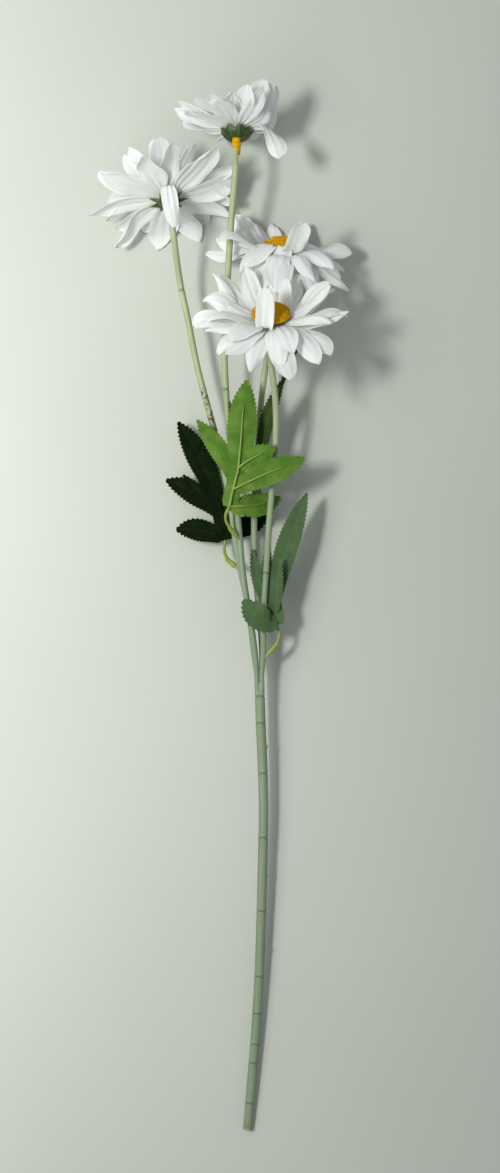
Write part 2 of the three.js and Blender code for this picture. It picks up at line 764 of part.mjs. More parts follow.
function branchStem(branch, frame, pegs) {
  const curve = branchCurve(branch, frame);
  const length = curve.getLength();
  const distances = branchDistances(length);
  const radiusAt = (distance) => {
    if (distance > length - BRANCH_TIP_LENGTH - 1) {
      return BRANCH_TIP_RADIUS;
    }
    const full = smoothstep(distance, 0, BRANCH_ROOT_LENGTH);
    return lerp(BRANCH_ROOT_RADIUS, BRANCH_RADIUS, full) + grooved(distance, branch.grooves);
  };
  const marks = sortedDistances([...distances, ...grooveStations(branch.grooves)]);
  const outside = tube(framesAlong(curve, marks), radiusAt, BRANCH_SIDES);
  const hole = tube(overrun(framesAlong(curve, distances)), () => BRANCH_BORE, BORE_SIDES);
  return fuse([outside, ...pegs]).subtract(hole);
}

// One wire: from just inside the cut end, through the lower stem and on up its branch.
function wire(branch, frame) {
  const lower = framesAlong(lowerCurve, boreDistances).map((station, index) => {
    const offset = lerp(WIRE_OFFSET, BRANCH_OFFSET, mouthOpening(station.distance));
    const middle = station.centre.clone();
    middle.addScaledVector(station.side, branch.side * offset);
    middle.addScaledVector(station.up, branch.rise * offset);
    if (index === 0) {
      middle.addScaledVector(station.tangent, 0.5);
    }
    return { ...station, centre: middle };
  });
  const curve = branchCurve(branch, frame);
  const length = curve.getLength();
  const upper = framesAlong(curve, branchDistances(length).slice(1, -1));
  return tube([...lower, ...upper], () => WIRE_RADIUS, WIRE_SIDES);
}

// ---- Leaves -------------------------------------------------------------------------------------

// Stations along the midrib of a lobe, with the blade's side and normal at each.
function lobeFrames(lobe, count) {
  const curve = curveThrough(lobe.path.map(vector));
  const length = curve.getLength();
  return framesAlong(curve, evenDistances(0, length, length / count)).map((frame) => ({
    ...frame,
    share: frame.distance / length,
  }));
}

// Width of a lobe, as a share of its full width: half as wide at the root, pointed at the tip.
function lobeOutline(share) {
  const widest = 0.5;
  if (share < widest) {
    return 0.48 + 0.52 * smoothstep(share, 0, widest);
  }
  return Math.max(0, 1 - ((share - widest) / (1 - widest)) ** 1.7) ** 0.8;
}

function blade(lobe, ribSide, extra = 0) {
  const length = curveThrough(lobe.path.map(vector)).getLength();
  const teeth = Math.max(3, Math.round(length / TOOTH_PITCH));
  const rings = lobeFrames(lobe, 2 * teeth).map((frame, index) => {
    const { centre: middle, tangent, side, up, share } = frame;
    const isTooth = index % 2 === 1;
    const full = 0.5 * lobe.width * lobeOutline(share);
    const half = Math.max(0.5, isTooth ? full : full - TOOTH_DEPTH * Math.min(1, full / 3)) + extra;
    const lean = isTooth ? 0.25 * TOOTH_PITCH : 0;
    const fold = -ribSide * 0.16 * half;
    const edge = (sign) => middle.clone().addScaledVector(side, sign * half)
      .addScaledVector(up, fold)
      .addScaledVector(tangent, lean);
    const thick = BLADE_THICKNESS / 2 + extra;
    const top = middle.clone().addScaledVector(up, thick);
    const bottom = middle.clone().addScaledVector(up, -thick);
    return [edge(-1), top, edge(1), bottom];
  });
  return skin(rings, { mirrored: true });
}

// The strip of blade along the midrib below the end lobe.
function spineBlade(leaf) {
  const frames = framesAlong(curveThrough(leaf.spine.map(vector)), [0, 6, 12, 100]);
  return skin(frames.map(({ centre: middle, side, up }) => [
    middle.clone().addScaledVector(side, -SPINE_HALF_WIDTH),
    middle.clone().addScaledVector(up, BLADE_THICKNESS / 2),
    middle.clone().addScaledVector(side, SPINE_HALF_WIDTH),
    middle.clone().addScaledVector(up, -BLADE_THICKNESS / 2),
  ]), { mirrored: true });
}

function leafBlade(leaf) {
  return fuse([spineBlade(leaf), ...leaf.lobes.map((lobe) => blade(lobe, leaf.ribs))]);
}

// A rib on the face of the blade, GAP clear of it, tapering towards the tip of its lobe.
function rib(path, ribSide, reach, startRadius, endRadius) {
  const curve = curveThrough(path.map(vector));
  const length = curve.getLength() * reach;
  const radiusAt = (distance) => lerp(startRadius, endRadius, distance / length);
  const frames = framesAlong(curve, evenDistances(0, length, length / 3)).map((frame) => {
    const lift = BLADE_THICKNESS / 2 + GAP + radiusAt(frame.distance);
    return { ...frame, centre: frame.centre.clone().addScaledVector(frame.up, ribSide * lift) };
  });
  return tube(frames, radiusAt, 4);
}

function leafRibs(leaf) {
  const [foot, pegEnd] = leaf.peg.map(vector);
  const petiole = leaf.petiole.map(vector);
  const spineFrames = framesAlong(curveThrough(leaf.spine.map(vector)), [0, 6]);
  const lift = leaf.ribs * (BLADE_THICKNESS / 2 + GAP + PETIOLE_RADIUS);
  const joined = spineFrames.map((frame) => frame.centre.clone().addScaledVector(frame.up, lift));
  const direction = pegEnd.clone().sub(foot).normalize();
  const sleeveStart = foot.clone().addScaledVector(direction, LEAF_SLEEVE_START);
  const sleeveEnd = sleeveStart.clone().addScaledVector(direction, LEAF_SLEEVE_LENGTH);
  const stalk = curveThrough([
    sleeveEnd.clone().addScaledVector(direction, -2), ...petiole.slice(0, -1), ...joined,
  ]);
  const stalkLength = stalk.getLength();
  const holeEnd = pegEnd.clone().addScaledVector(direction, GAP);
  const holeStart = sleeveStart.clone().addScaledVector(direction, -1);
  const hole = bar(holeStart, holeEnd, LEAF_SLEEVE_BORE, LEAF_SLEEVE_BORE, 7);
  const ribbed = leaf.lobes.filter((lobe) => !lobe.plain);
  const solids = [
    bar(sleeveStart, sleeveEnd, LEAF_SLEEVE_RADIUS, LEAF_SLEEVE_RADIUS * 0.8, 7),
    tube(framesAlong(stalk, evenDistances(0, stalkLength, stalkLength / 6)), () => PETIOLE_RADIUS, 5),
    rib(leaf.spine, leaf.ribs, 1, PETIOLE_RADIUS, RIB_RADIUS),
    ...ribbed.map((lobe) => rib(lobe.path, leaf.ribs, RIB_REACH, RIB_RADIUS, RIB_TIP_RADIUS)),
  ];
  return fuse(solids).subtract(hole);
}

function leafPeg(leaf) {
  const [foot, end] = leaf.peg.map(vector);
  return bar(foot, end, LEAF_PEG_RADIUS + 0.2, LEAF_PEG_RADIUS, 7);
}

// ---- The spray ----------------------------------------------------------------------------------

addNode('stem_lower', lowerStem(), STEM_PLASTIC);
HEADS.forEach((head, index) => {
  const frame = headFrame(head);
  const branch = BRANCHES[index];
  const label = index + 1;
  const pegs = LEAVES.filter((leaf) => leaf.stem === index).map(leafPeg);
  addNode(`stem_${label}`, branchStem(branch, frame, pegs), STEM_PLASTIC);
  addNode(`wire_${label}`, wire(branch, frame), STEEL);
  addNode(`petals_${label}`, bloom(head, index), PETAL_FABRIC);
  addNode(`centre_${label}`, centre(frame), DISC_PLASTIC);
  addNode(`calyx_${label}`, calyx(head, frame), CALYX_PLASTIC);
});
LEAVES.forEach((leaf) => {
  addNode(`leaf_blade_${leaf.name}`, leafBlade(leaf), LEAF_FABRIC);
  addNode(`leaf_ribs_${leaf.name}`, leafRibs(leaf), RIB_PLASTIC);
});

// The frame of the part: middle of the box in X and Y, the surface at Z = 0.
const box = new THREE.Box3().setFromObject(group);
const middle = box.getCenter(new THREE.Vector3());
group.position.set(-middle.x, -middle.y, -box.min.z);

export default group;
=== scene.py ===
import math

import bpy
import numpy as np
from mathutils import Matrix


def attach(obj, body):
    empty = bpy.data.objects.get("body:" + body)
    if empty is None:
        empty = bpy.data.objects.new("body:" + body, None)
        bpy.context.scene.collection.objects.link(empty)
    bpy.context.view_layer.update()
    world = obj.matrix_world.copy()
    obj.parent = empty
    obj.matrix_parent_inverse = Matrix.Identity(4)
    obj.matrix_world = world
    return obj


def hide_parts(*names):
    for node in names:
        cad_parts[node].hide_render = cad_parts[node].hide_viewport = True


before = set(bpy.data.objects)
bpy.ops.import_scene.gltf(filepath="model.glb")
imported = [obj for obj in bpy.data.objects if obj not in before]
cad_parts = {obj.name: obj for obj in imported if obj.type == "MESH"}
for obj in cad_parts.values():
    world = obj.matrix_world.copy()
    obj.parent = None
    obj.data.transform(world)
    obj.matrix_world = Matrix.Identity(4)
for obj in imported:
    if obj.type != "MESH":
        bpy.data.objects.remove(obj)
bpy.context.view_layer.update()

MM = 0.001
PART_SHIFT = np.array([16.85, -328.766, 0.0])  # from the middle of the cut end to the part's frame

# ---- Driving dimensions, mostly the same as in the part's source --------------------------------

LOWER_RADIUS_CUT = 2.95
LOWER_RADIUS_TOP = 3.2
COLLAR_RADIUS = 3.3
COLLAR_LENGTH = 18
BORE_RADIUS = 1.85
MOUTH_LENGTH = 18
GROOVE_DEPTH = 0.3
GROOVE_LIP = 0.16
BRANCH_RADIUS = 2.0
BRANCH_ROOT_RADIUS = 1.6
BRANCH_ROOT_LENGTH = 20
BRANCH_TIP_RADIUS = 1.5
BRANCH_TIP_LENGTH = 13
WIRE_RADIUS = 0.5
WIRE_OFFSET = 0.68
BRANCH_OFFSET = 1.56
GAP = 0.3

HUB_RADIUS = 6
HUB_HOLE = 3.1
HUB_HALF = 1.5
PETAL_ROOT = 4.4
PETAL_THICKNESS = 0.3
PETAL_FLAT = 8
PETALS_PER_LAYER = 10
LAYER_HEIGHT = [-1, 0, 1]
LAYER_RISE = [6, 14, 22]
LAYER_LENGTH = [43, 40.5, 37]
LAYER_WIDTH = [14.2, 13.6, 13]
SOFT_LANDING = 9
LOWEST = 0.35  # of a petal, above the surface
DISC_RADIUS = 12
DISC_RIM = 5.9
PEG_RADIUS = 2.75
SLEEVE_END = -15
SLEEVE_BORE = 1.85
SLEEVE_FLOOR = -9.2
SLEEVE_SLANT = 1.3
STEM_TIP = -9.6
CALYX_FLOOR = -7.8
CALYX_WALL = 0.7
SEPALS = 9

BLADE_THICKNESS = 0.5
BLADE_HALF_CAD = 0.4  # half of the blade's thickness in the part's source, which sets the ribs
SPINE_HALF_WIDTH = 5.2
RIB_RADIUS = 0.85
RIB_REACH = 0.74  # of a lobe's length
PETIOLE_RADIUS = 0.95
LEAF_SLEEVE_RADIUS = 1.65
LEAF_SLEEVE_LENGTH = 8.5
LEAF_SLEEVE_START = 3.2
LEAF_PEG_RADIUS = 0.92
TOOTH_PITCH = 2.5
TOOTH_DEPTH = 0.85
TOOTH_SHAPE = np.array([0.0, 0.55, 1.0, 0.4])  # height at four places along a tooth
TOOTH_LEAN = 0.3  # of the pitch, towards the tip of the lobe
VEIN_PITCH = 5.2
VEIN_SLANT = 0.85

# ---- Placing: routes and poses as in the part's source, with some values more -------------------

LOWER_ROUTE = [
    [0, 0, 3], [2.2, 25.3, 5], [5.1, 61.4, 7], [7.3, 97.5, 9.5], [8.6, 133.4, 12], [9.5, 169.2, 14],
    [10.2, 204.9, 16], [9.6, 231.7, 17.5], [8.4, 258.3, 19], [7.6, 285.6, 20.4],
]
GROOVES = [17, 43, 55, 75, 99, 141, 188, 229, 261, 278]  # distance from the cut end
SPURS = [116, 163, 245]  # small moulded spurs on the right-hand side

# side and rise say in which quarter of the lower stem a branch starts. grooves are the distances of
# its ring marks from that start, and rust the stretch where its wire stains the skin.
BRANCHES = [
    {
        "side": -1, "rise": 1, "grooves": [186],
        "route": [
            [4.6, 304.6, 24.2], [2.6, 319.8, 25.6], [-0.9, 340.6, 26.9], [-3.2, 357.6, 27.6],
            [-4.8, 375.2, 28], [-5.9, 389, 28.4], [-7.2, 407.2, 29], [-10.8, 438.6, 30.5],
            [-13.1, 463.4, 33], [-14.3, 494.4, 37], [-12.7, 531.3, 42], [-10.2, 571.1, 47.5],
        ],
    },
    {
        "side": -1, "rise": -1, "grooves": [160, 252], "rust": (162, 186),
        "route": [
            [4.2, 304.5, 18.6], [2.4, 319.7, 19.6], [-0.9, 340.6, 21.2], [-4.4, 357.6, 22.6],
            [-7.4, 375.2, 23.8], [-9.4, 389.1, 24.4], [-12.2, 407.3, 25], [-19.8, 440.7, 26],
            [-25.8, 462.6, 27], [-31.7, 485.2, 28.5], [-37.6, 515.1, 30.5], [-42.3, 537.4, 33],
        ],
    },
    {
        "side": 1, "rise": -1, "grooves": [172],
        "route": [
            [9.4, 304.5, 18.2], [8.6, 317.8, 17.8], [7.2, 331.7, 17.6], [5.6, 350.7, 18],
            [4.3, 375.9, 19], [4.4, 394.9, 20], [5.4, 413.8, 21.5], [7.3, 444.5, 24],
            [9, 466.4, 26], [12.1, 490.8, 28], [15, 513, 29],
        ],
    },
    {
        "side": 1, "rise": 1, "grooves": [70, 150],
        "route": [
            [9.9, 304.7, 24], [10, 318, 26.6], [10.7, 338.1, 29.8], [11.9, 357.5, 32.4],
            [12.8, 374.9, 34.4], [13.6, 386.1, 35.8], [15.1, 405.2, 38.2], [17.1, 426.7, 41.5],
            [17.8, 442.5, 44.8], [17.4, 461.3, 50], [15.7, 476, 55],
        ],
    },
]

# axis is the way a head faces. Angles are in degrees, and an azimuth runs round the axis from the
# image right to the side that faces the viewer.
# rise bends the petals off the plane of the hub: lift all of them, front and back those towards and
# away from the viewer, right those on the right and against that the left, sides those on both
# sides. Its arch bows the side petals.
# face twists the side petals towards the viewer. bendEnd is how far along a petal its bend ends.
# wide, long and turn change the size and the first azimuth. full rounds the tips, stray scales the
# draws, roll winds up the long edges, and curl bends the tips.
# posed holds the values of single petals, by layer and index. hump lifts one over the disc's edge.
HEADS = [
    {
        "hub": [-6.5, 631, 50],
        "axis": [0.03, 0.96, -0.25],
        "rise": {"lift": 44, "front": -36, "back": 10, "right": 32, "sides": 6, "arch": 0},
        "face": 0, "bendEnd": 21, "wide": 0.96, "long": 0.86, "turn": 0,
        "sepals": "cup", "full": 1.05, "stray": 1, "roll": 0.5, "curl": 10,
        "posed": {
            (0, 0): dict(
                azimuth=14, rise=-74, bendStart=8, bendEnd=20, length=38, width=13, twist=76,
                fullness=1.2,
            ),
            (0, 1): dict(rise=74, length=36),
            (1, 0): dict(rise=80),
            (1, 1): dict(rise=66, length=33),
            (2, 0): dict(rise=84),
            (2, 1): dict(rise=58),
            (1, 4): dict(azimuth=159, rise=8, width=10),
            (0, 5): dict(azimuth=170, rise=20, arch=0, twist=30, length=36, width=11),
            (0, 6): dict(azimuth=205, rise=32, twist=-30, width=10, length=35),
            (1, 5): dict(azimuth=186, rise=28, arch=0, length=36, width=11),
        },
    },
    {
        "hub": [-50.3, 590.5, 35],
        "axis": [-0.15, 0.85, -0.5],
        "rise": {"lift": -1, "front": 4, "back": -4, "right": 0, "sides": -3, "arch": 10},
        "face": 0, "bendEnd": 30, "wide": 1.12, "long": 1, "turn": 4,
        "sepals": "star", "full": 1.1, "stray": 1.4, "roll": 0.6, "curl": 24,
        "posed": {
            (0, 2): dict(
                azimuth=88, rise=-98, bendStart=3.5, bendEnd=13, length=40, width=10.5, twist=0,
                arch=0, sway=9,
            ),
        },
    },
    {
        "hub": [21.4, 552.7, 34.5],
        "axis": [0.08, 0.96, 0.2],
        "rise": {"lift": -26, "front": -34, "back": 34, "right": -22, "sides": -10, "arch": 48},
        "face": 30, "bendEnd": 24, "wide": 1.12, "long": 1, "turn": 8,
        "sepals": "cup", "full": 0.65, "stray": 1.2, "roll": 1.2, "curl": 26,
        "posed": {
            (2, 1): dict(
                azimuth=72, rise=52, width=13, arch=0, twist=0, fullness=1.4, roll=0, curl=0,
            ),
            (2, 2): dict(
                azimuth=92, bendStart=6, bendEnd=14, rise=-76, length=31, width=13, twist=0,
                hump=90,
            ),
            (1, 3): dict(
                azimuth=130, bendStart=7, bendEnd=19, rise=-52, width=15.5, twist=-12, hump=95,
            ),
            (2, 9): dict(azimuth=300, rise=44, length=32),
            (0, 2): dict(azimuth=90, rise=-48, length=41, arch=0),
            (0, 3): dict(bendEnd=18, rise=-66),
            (0, 4): dict(azimuth=196, rise=-8, twist=-50, arch=0, length=46),
            (0, 5): dict(azimuth=212, rise=-20, twist=-45),
            (1, 4): dict(azimuth=188, rise=8, twist=-45, arch=0),
            (2, 3): dict(azimuth=152, rise=-54, arch=80, bendEnd=20, length=46, width=12),
            (2, 5): dict(azimuth=196, rise=50, length=40, arch=0),
            (2, 6): dict(azimuth=216, rise=44, length=42, arch=0),
        },
    },
    {
        "hub": [14.4, 506.8, 74],
        "axis": [0, 0.82, 0.57],
        "rise": {"lift": -8, "front": -18, "back": 38, "right": 4, "sides": -22, "arch": 62},
        "face": 8, "bendEnd": 24, "wide": 1, "long": 1.03, "turn": 0,
        "sepals": "cup", "full": 0.6, "stray": 1.3, "roll": 1.3, "curl": 30,
        "posed": {
            (2, 2): dict(
                azimuth=104, rise=88, bendEnd=12.5, width=13, length=36, twist=0, fullness=1.5,
                roll=0, curl=0, cup=0.45,
            ),
            (2, 8): dict(
                azimuth=302, rise=72, bendEnd=15, width=10, length=29, fullness=1.4, roll=0, curl=0,
            ),
        },
    },
]


def lobe(width, *path, plain=False):
    """A lobe of a leaf along its path. A plain one has no rib."""
    return {"width": width, "path": path, "plain": plain}


# ribs is 1 where the plastic ribs lie on the upper side of a leaf, and -1 where they lie below it
LEAVES = [
    {
        "name": "a", "stem": 0, "ribs": 1,
        "peg": [[-5.4, 376.4, 29.2], [-9.2, 381, 33.6]],
        "petiole": [[-13.4, 387.6, 38.6], [-13.4, 391.8, 40.9]],
        "spine": [[-11.5, 396.1, 41], [-9.6, 404.2, 43], [-7.7, 411.6, 44.5], [-5.9, 419, 45.5]],
        "lobes": [
            lobe(19.5, [-5.9, 417, 45.4], [-4, 437.5, 47.5], [-2.7, 454.9, 48], [-0.3, 474.9, 46]),
            lobe(
                13, [-7.1, 411.2, 44.5], [-14.6, 426.4, 46], [-22.7, 438.9, 45], [-31.4, 450.2, 43],
                plain=True,
            ),
            lobe(14, [-5.4, 420.5, 45.7], [1, 425.1, 48], [7.2, 428.1, 49.5], [17.1, 432.4, 50]),
            lobe(
                17, [-7.9, 407.5, 43.8], [1.6, 412, 48], [12.7, 416.9, 51.5], [23.9, 421.1, 53],
                [35.6, 426.1, 53],
            ),
            lobe(
                16, [-11.4, 396.4, 41], [-2.8, 396.8, 40.3], [5.4, 397.6, 36], [12.9, 399.2, 32.5],
                [21.1, 402.1, 30],
            ),
        ],
    },
    {
        "name": "b", "stem": 1, "ribs": -1,
        "peg": [[-5.6, 357.6, 22], [-10.4, 361.6, 18.8]],
        "petiole": [[-14.4, 367.4, 15.2], [-14.8, 371.6, 14.2]],
        "spine": [[-14.2, 376, 15.6], [-15.5, 385.5, 15], [-17.4, 393.8, 14.6], [-18.7, 400, 14.6]],
        "lobes": [
            lobe(17, [-18.4, 398, 14.6], [-25, 417.2, 15.5], [-33.9, 434.4, 15], [-44.1, 451, 13]),
            lobe(15, [-17, 393, 14.6], [-27.6, 401.3, 14.5], [-39, 408.7, 14], [-51.8, 414.2, 12]),
            lobe(7, [-24, 399.5, 14.5], [-32.6, 408.6, 16], [-40.9, 417.2, 16.6], plain=True),
            lobe(
                15, [-14.4, 377.8, 15.5], [-25.7, 381.1, 15], [-35.2, 383, 13.5],
                [-45.4, 382.5, 11],
            ),
            lobe(14, [-14.6, 380.5, 15.3], [-6, 383, 14], [2.9, 386.2, 13], [13, 390.7, 12]),
        ],
    },
    {
        "name": "c", "stem": 3, "ribs": -1,
        "peg": [[11.4, 302, 24], [15, 306.2, 25]],
        "petiole": [[19.9, 314.6, 26.3], [19.8, 318.4, 26.4]],
        "spine": [[18.6, 322.5, 28.6], [17.4, 330, 28.6], [15.8, 337, 28.4]],
        "lobes": [
            lobe(15, [16, 335.4, 28.4], [21.1, 358.2, 29.4], [28, 380.8, 29], [37.5, 405.4, 27]),
            lobe(
                8.8, [17, 331.4, 28.4], [14.8, 334.2, 28.2], [12.5, 336.9, 26.3], [9.2, 343, 24.2],
                [6, 353.8, 23.8], [2.9, 370.2, 24.4],
            ),
            lobe(
                9, [17.2, 330, 28.8], [18, 341, 33.6], [18.6, 353, 36.6], [20.6, 364, 37.6],
                plain=True,
            ),
            lobe(
                16, [18.2, 325.8, 28.8], [13.6, 323.8, 33.2], [6.6, 327.4, 36.2],
                [-2.8, 338.1, 35.4], plain=True,
            ),
            lobe(
                8, [15, 336.5, 28.5], [12.2, 347.4, 26.2], [12.2, 361.3, 26.2], [13.4, 373.3, 26.8],
                plain=True,
            ),
        ],
    },
    {
        "name": "d", "stem": 2, "ribs": -1,
        "peg": [[4.8, 396.9, 21.4], [5.8, 399.4, 25.2]],
        "petiole": [[7.2, 404.6, 30], [8, 409, 31]],
        "spine": [[8.4, 413.2, 32.2], [9.1, 419.7, 32.6], [9.8, 425, 32.8]],
        "lobes": [
            lobe(
                10, [9.4, 421.7, 32.6], [9.4, 434, 34], [12.2, 450, 37], [17.2, 464, 40],
                [22.6, 476.4, 42],
            ),
            lobe(
                4, [20.6, 470, 41.4], [23.6, 478.4, 42.6], [27, 486.4, 44.4], [31.4, 495.3, 46],
                plain=True,
            ),
            lobe(9, [8.8, 420.2, 32.6], [0.3, 434.5, 36], [-6.5, 448, 39], [-11.5, 462.3, 40]),
        ],
    },
]


# ---- Curves and meshes --------------------------------------------------------------------------

UP = np.array([0.0, 0.0, 1.0])
RIGHT = np.array([1.0, 0.0, 0.0])
FINE_STEPS = 24  # between two points of a route


def unit(vectors):
    return vectors / np.linalg.norm(vectors, axis=-1, keepdims=True)


def smoothstep(value, low, high):
    t = np.clip((value - low) / (high - low), 0, 1)
    return t * t * (3 - 2 * t)


def mix(a, b, share):
    return a + (b - a) * share


def draw(seed):
    """A repeatable draw from -1 to 1 for a whole number."""
    value = math.sin(seed * 127.1 + 311.7) * 43758.5453
    return 2 * (value - math.floor(value)) - 1


class Line:
    """A smooth curve through points, with a level frame at any distance along it."""

    def __init__(self, points):
        points = np.array(points, float)
        knots = np.vstack([2 * points[0] - points[1], points, 2 * points[-1] - points[-2]])
        t = np.linspace(0, 1, FINE_STEPS, endpoint=False)[:, None]
        spans = []
        for p0, p1, p2, p3 in zip(knots, knots[1:], knots[2:], knots[3:]):
            d0, d1, d2 = (np.linalg.norm(b - a) ** 0.5 for a, b in ((p0, p1), (p1, p2), (p2, p3)))
            m1 = d1 * ((p1 - p0) / d0 - (p2 - p0) / (d0 + d1) + (p2 - p1) / d1)
            m2 = d1 * ((p2 - p1) / d1 - (p3 - p1) / (d1 + d2) + (p3 - p2) / d2)
            square = 3 * (p2 - p1) - 2 * m1 - m2
            cube = 2 * (p1 - p2) + m1 + m2
            spans.append(p1 + m1 * t + square * t**2 + cube * t**3)
        self.points = np.vstack(spans + [points[-1:]])
        steps = np.linalg.norm(np.diff(self.points, axis=0), axis=1)
        self.distances = np.concatenate([[0], np.cumsum(steps)])
        self.length = self.distances[-1]

    def place(self, distances):
        return np.stack([np.interp(distances, self.distances, self.points[:, k]) for k in range(3)], -1)

    def frame(self, distance):
        """The same as frames, at one distance."""
        return [column[0] for column in self.frames([distance])]

    def frames(self, distances):
        """Centre, tangent, side and up at each distance; side stays level."""
        distances = np.asarray(distances, float)
        reach = 0.5
        tangent = unit(self.place(distances + reach) - self.place(distances - reach))
        side = unit(np.cross(tangent, UP))
        return self.place(distances), tangent, side, np.cross(side, tangent)


def even(start, end, step):
    return np.linspace(start, end, max(2, round((end - start) / step) + 1))


def new_object(name, data):
    obj = bpy.data.objects.new(name, data)
    bpy.context.scene.collection.objects.link(obj)
    return obj


def per_ring(numbers):
    """A list of numbers, one per ring, as a column that fits any number of points in a ring."""
    numbers = np.asarray(numbers, float)
    return numbers[:, None] if numbers.ndim == 1 else numbers


class Piece:
    """Closed bodies gathered into one object. values are numbers per point, for the materials."""

    def __init__(self, name):
        self.name = name
        self.points = []
        self.faces = []
        self.values = []
        self.count = 0

    def add(self, rings, loop=False, **values):
        """A closed body through rings, of shape (rings, points, 3). loop joins the last to the first.

        A value is one number, one per ring, or one per point of each ring.
        """
        rings = np.asarray(rings, float)
        count, size = rings.shape[:2]
        here = np.arange(count if loop else count - 1)[:, None] * size
        there = (here + size) % (count * size)
        j = np.arange(size)[None, :]
        k = (j + 1) % size
        quads = np.stack([here + j, here + k, there + k, there + j], -1).reshape(-1, 4)
        points = rings.reshape(-1, 3)
        a, b, c, d = (points[quads[:, corner]] - points.mean(0) for corner in range(4))
        volume = np.sum(a * np.cross(b, c)) + np.sum(a * np.cross(c, d))
        faces = (quads + self.count).tolist()
        if not loop:
            last = (count - 1) * size
            faces.append([self.count + i for i in reversed(range(size))])
            faces.append([self.count + last + i for i in range(size)])
        self.faces += [face[::-1] for face in faces] if volume < 0 else faces
        self.points.append(points)
        self.values.append({
            name: np.broadcast_to(per_ring(value), (count, size)).reshape(-1)
            for name, value in values.items()
        })
        self.count += count * size

    def finish(self, material, node, sharp=45):
        """Makes the object, which stands for a node of the part."""
        mesh = bpy.data.meshes.new(self.name)
        points = (np.vstack(self.points) + PART_SHIFT) * MM
        mesh.from_pydata(points.tolist(), [], self.faces)
        for name in sorted({name for values in self.values for name in values}):
            numbers = [
                values.get(name, np.zeros(len(points)))
                for values, points in zip(self.values, self.points)
            ]
            attribute = mesh.attributes.new(name, "FLOAT", "POINT")
            attribute.data.foreach_set("value", np.concatenate(numbers).astype(np.float32))
        mesh.shade_smooth()
        mesh.set_sharp_from_angle(angle=math.radians(sharp))
        mesh.materials.append(material)
        obj = new_object(self.name, mesh)
        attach(obj, "root")
        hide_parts(node)


def angle_of(sides):
    return 2 * math.pi * (np.arange(sides) + 0.5) / sides


def circles(frames, radii, sides):
    """Rings round a line; radii holds one number per ring, or one per point of each ring."""
    centre, _, side, up = frames
    angles = angle_of(sides)[None, :, None]
    across = np.cos(angles) * side[:, None] + np.sin(angles) * up[:, None]
    return centre[:, None] + per_ring(radii)[..., None] * across


def bar(start, end, radii, sides):
    """Rings of a straight round bar, with its radii spaced evenly from start to end."""
    line = Line([start, mix(start, end, 0.5), end])
    return circles(line.frames(np.linspace(0, line.length, len(radii))), radii, sides)


def both_faces(top, bottom):
    """Rings of a thin sheet, or their values, from rows across its two faces."""
    return np.concatenate([top, bottom[:, ::-1]], axis=1)


# ---- Material helpers ---------------------------------------------------------------------------


def rgb(red, green, blue):
    """A colour from its 0 to 255 display values."""
    shares = (value / 255 for value in (red, green, blue))
    return (*(s / 12.92 if s <= 0.04045 else ((s + 0.055) / 1.055) ** 2.4 for s in shares), 1)


class Graph:
    """A material's nodes, built with short calls."""

    def __init__(self, name, roughness, **sockets):
        self.material = bpy.data.materials.new(name)
        self.material.use_nodes = True
        self.tree = self.material.node_tree
        self.shader = self.tree.nodes["Principled BSDF"]
        self.output = self.tree.nodes["Material Output"]
        self.shader.inputs["Roughness"].default_value = roughness
        for key, value in sockets.items():
            self.shader.inputs[key.replace("_", " ")].default_value = value
        self.place = self.node("TexCoord").outputs["Object"]

    def node(self, kind, values=None, **settings):
        made = self.tree.nodes.new("ShaderNode" + kind)
        for key, value in settings.items():
            setattr(made, key, value)
        for key, value in (values or {}).items():
            self.feed(made.inputs[key], value)
        return made

    def feed(self, socket, value):
        if isinstance(value, bpy.types.NodeSocket):
            self.tree.links.new(value, socket)
        else:
            socket.default_value = value

    def value(self, name):
        return self.node("Attribute", attribute_name=name).outputs["Fac"]

    def math(self, operation, a, b=0.0):
        return self.node("Math", {0: a, 1: b}, operation=operation).outputs[0]

    def times(self, value, factor):
        return self.math("MULTIPLY", value, factor)

    def vector(self, x=0.0, y=0.0, z=0.0):
        return self.node("CombineXYZ", {"X": x, "Y": y, "Z": z}).outputs[0]

    def noise(self, scale, detail=2.0, vector=None):
        values = {"Vector": vector or self.place, "Scale": scale, "Detail": detail}
        return self.node("TexNoise", values).outputs["Fac"]

    def remap(self, value, low, high, start=0.0, end=1.0):
        values = {"Value": value, "From Min": low, "From Max": high, "To Min": start, "To Max": end}
        return self.node("MapRange", values).outputs["Result"]

    def mix(self, share, a, b, blend="MIX"):
        made = self.node("Mix", {0: share, 6: a, 7: b}, data_type="RGBA", blend_type=blend)
        return made.outputs[2]

    def blend(self, value, low, high, first, second, most=1.0):
        """first gives way to second, up to the share most, as value runs from low to high."""
        return self.mix(self.remap(value, low, high, 0.0, most), first, second)

    def bump(self, height, strength, distance):
        values = {"Height": height, "Strength": strength, "Distance": distance}
        self.feed(self.shader.inputs["Normal"], self.node("Bump", values).outputs["Normal"])

    def colour(self, value):
        self.feed(self.shader.inputs["Base Color"], value)

    def translucent(self, share, colour):
        """Lets light through: part of the surface is a translucent shader."""
        glow = self.node("BsdfTranslucent", {"Color": colour})
        both = self.node("MixShader", {0: share, 1: self.shader.outputs[0], 2: glow.outputs[0]})
        self.feed(self.output.inputs["Surface"], both.outputs[0])
        return self.material


# ---- Materials ----------------------------------------------------------------------------------


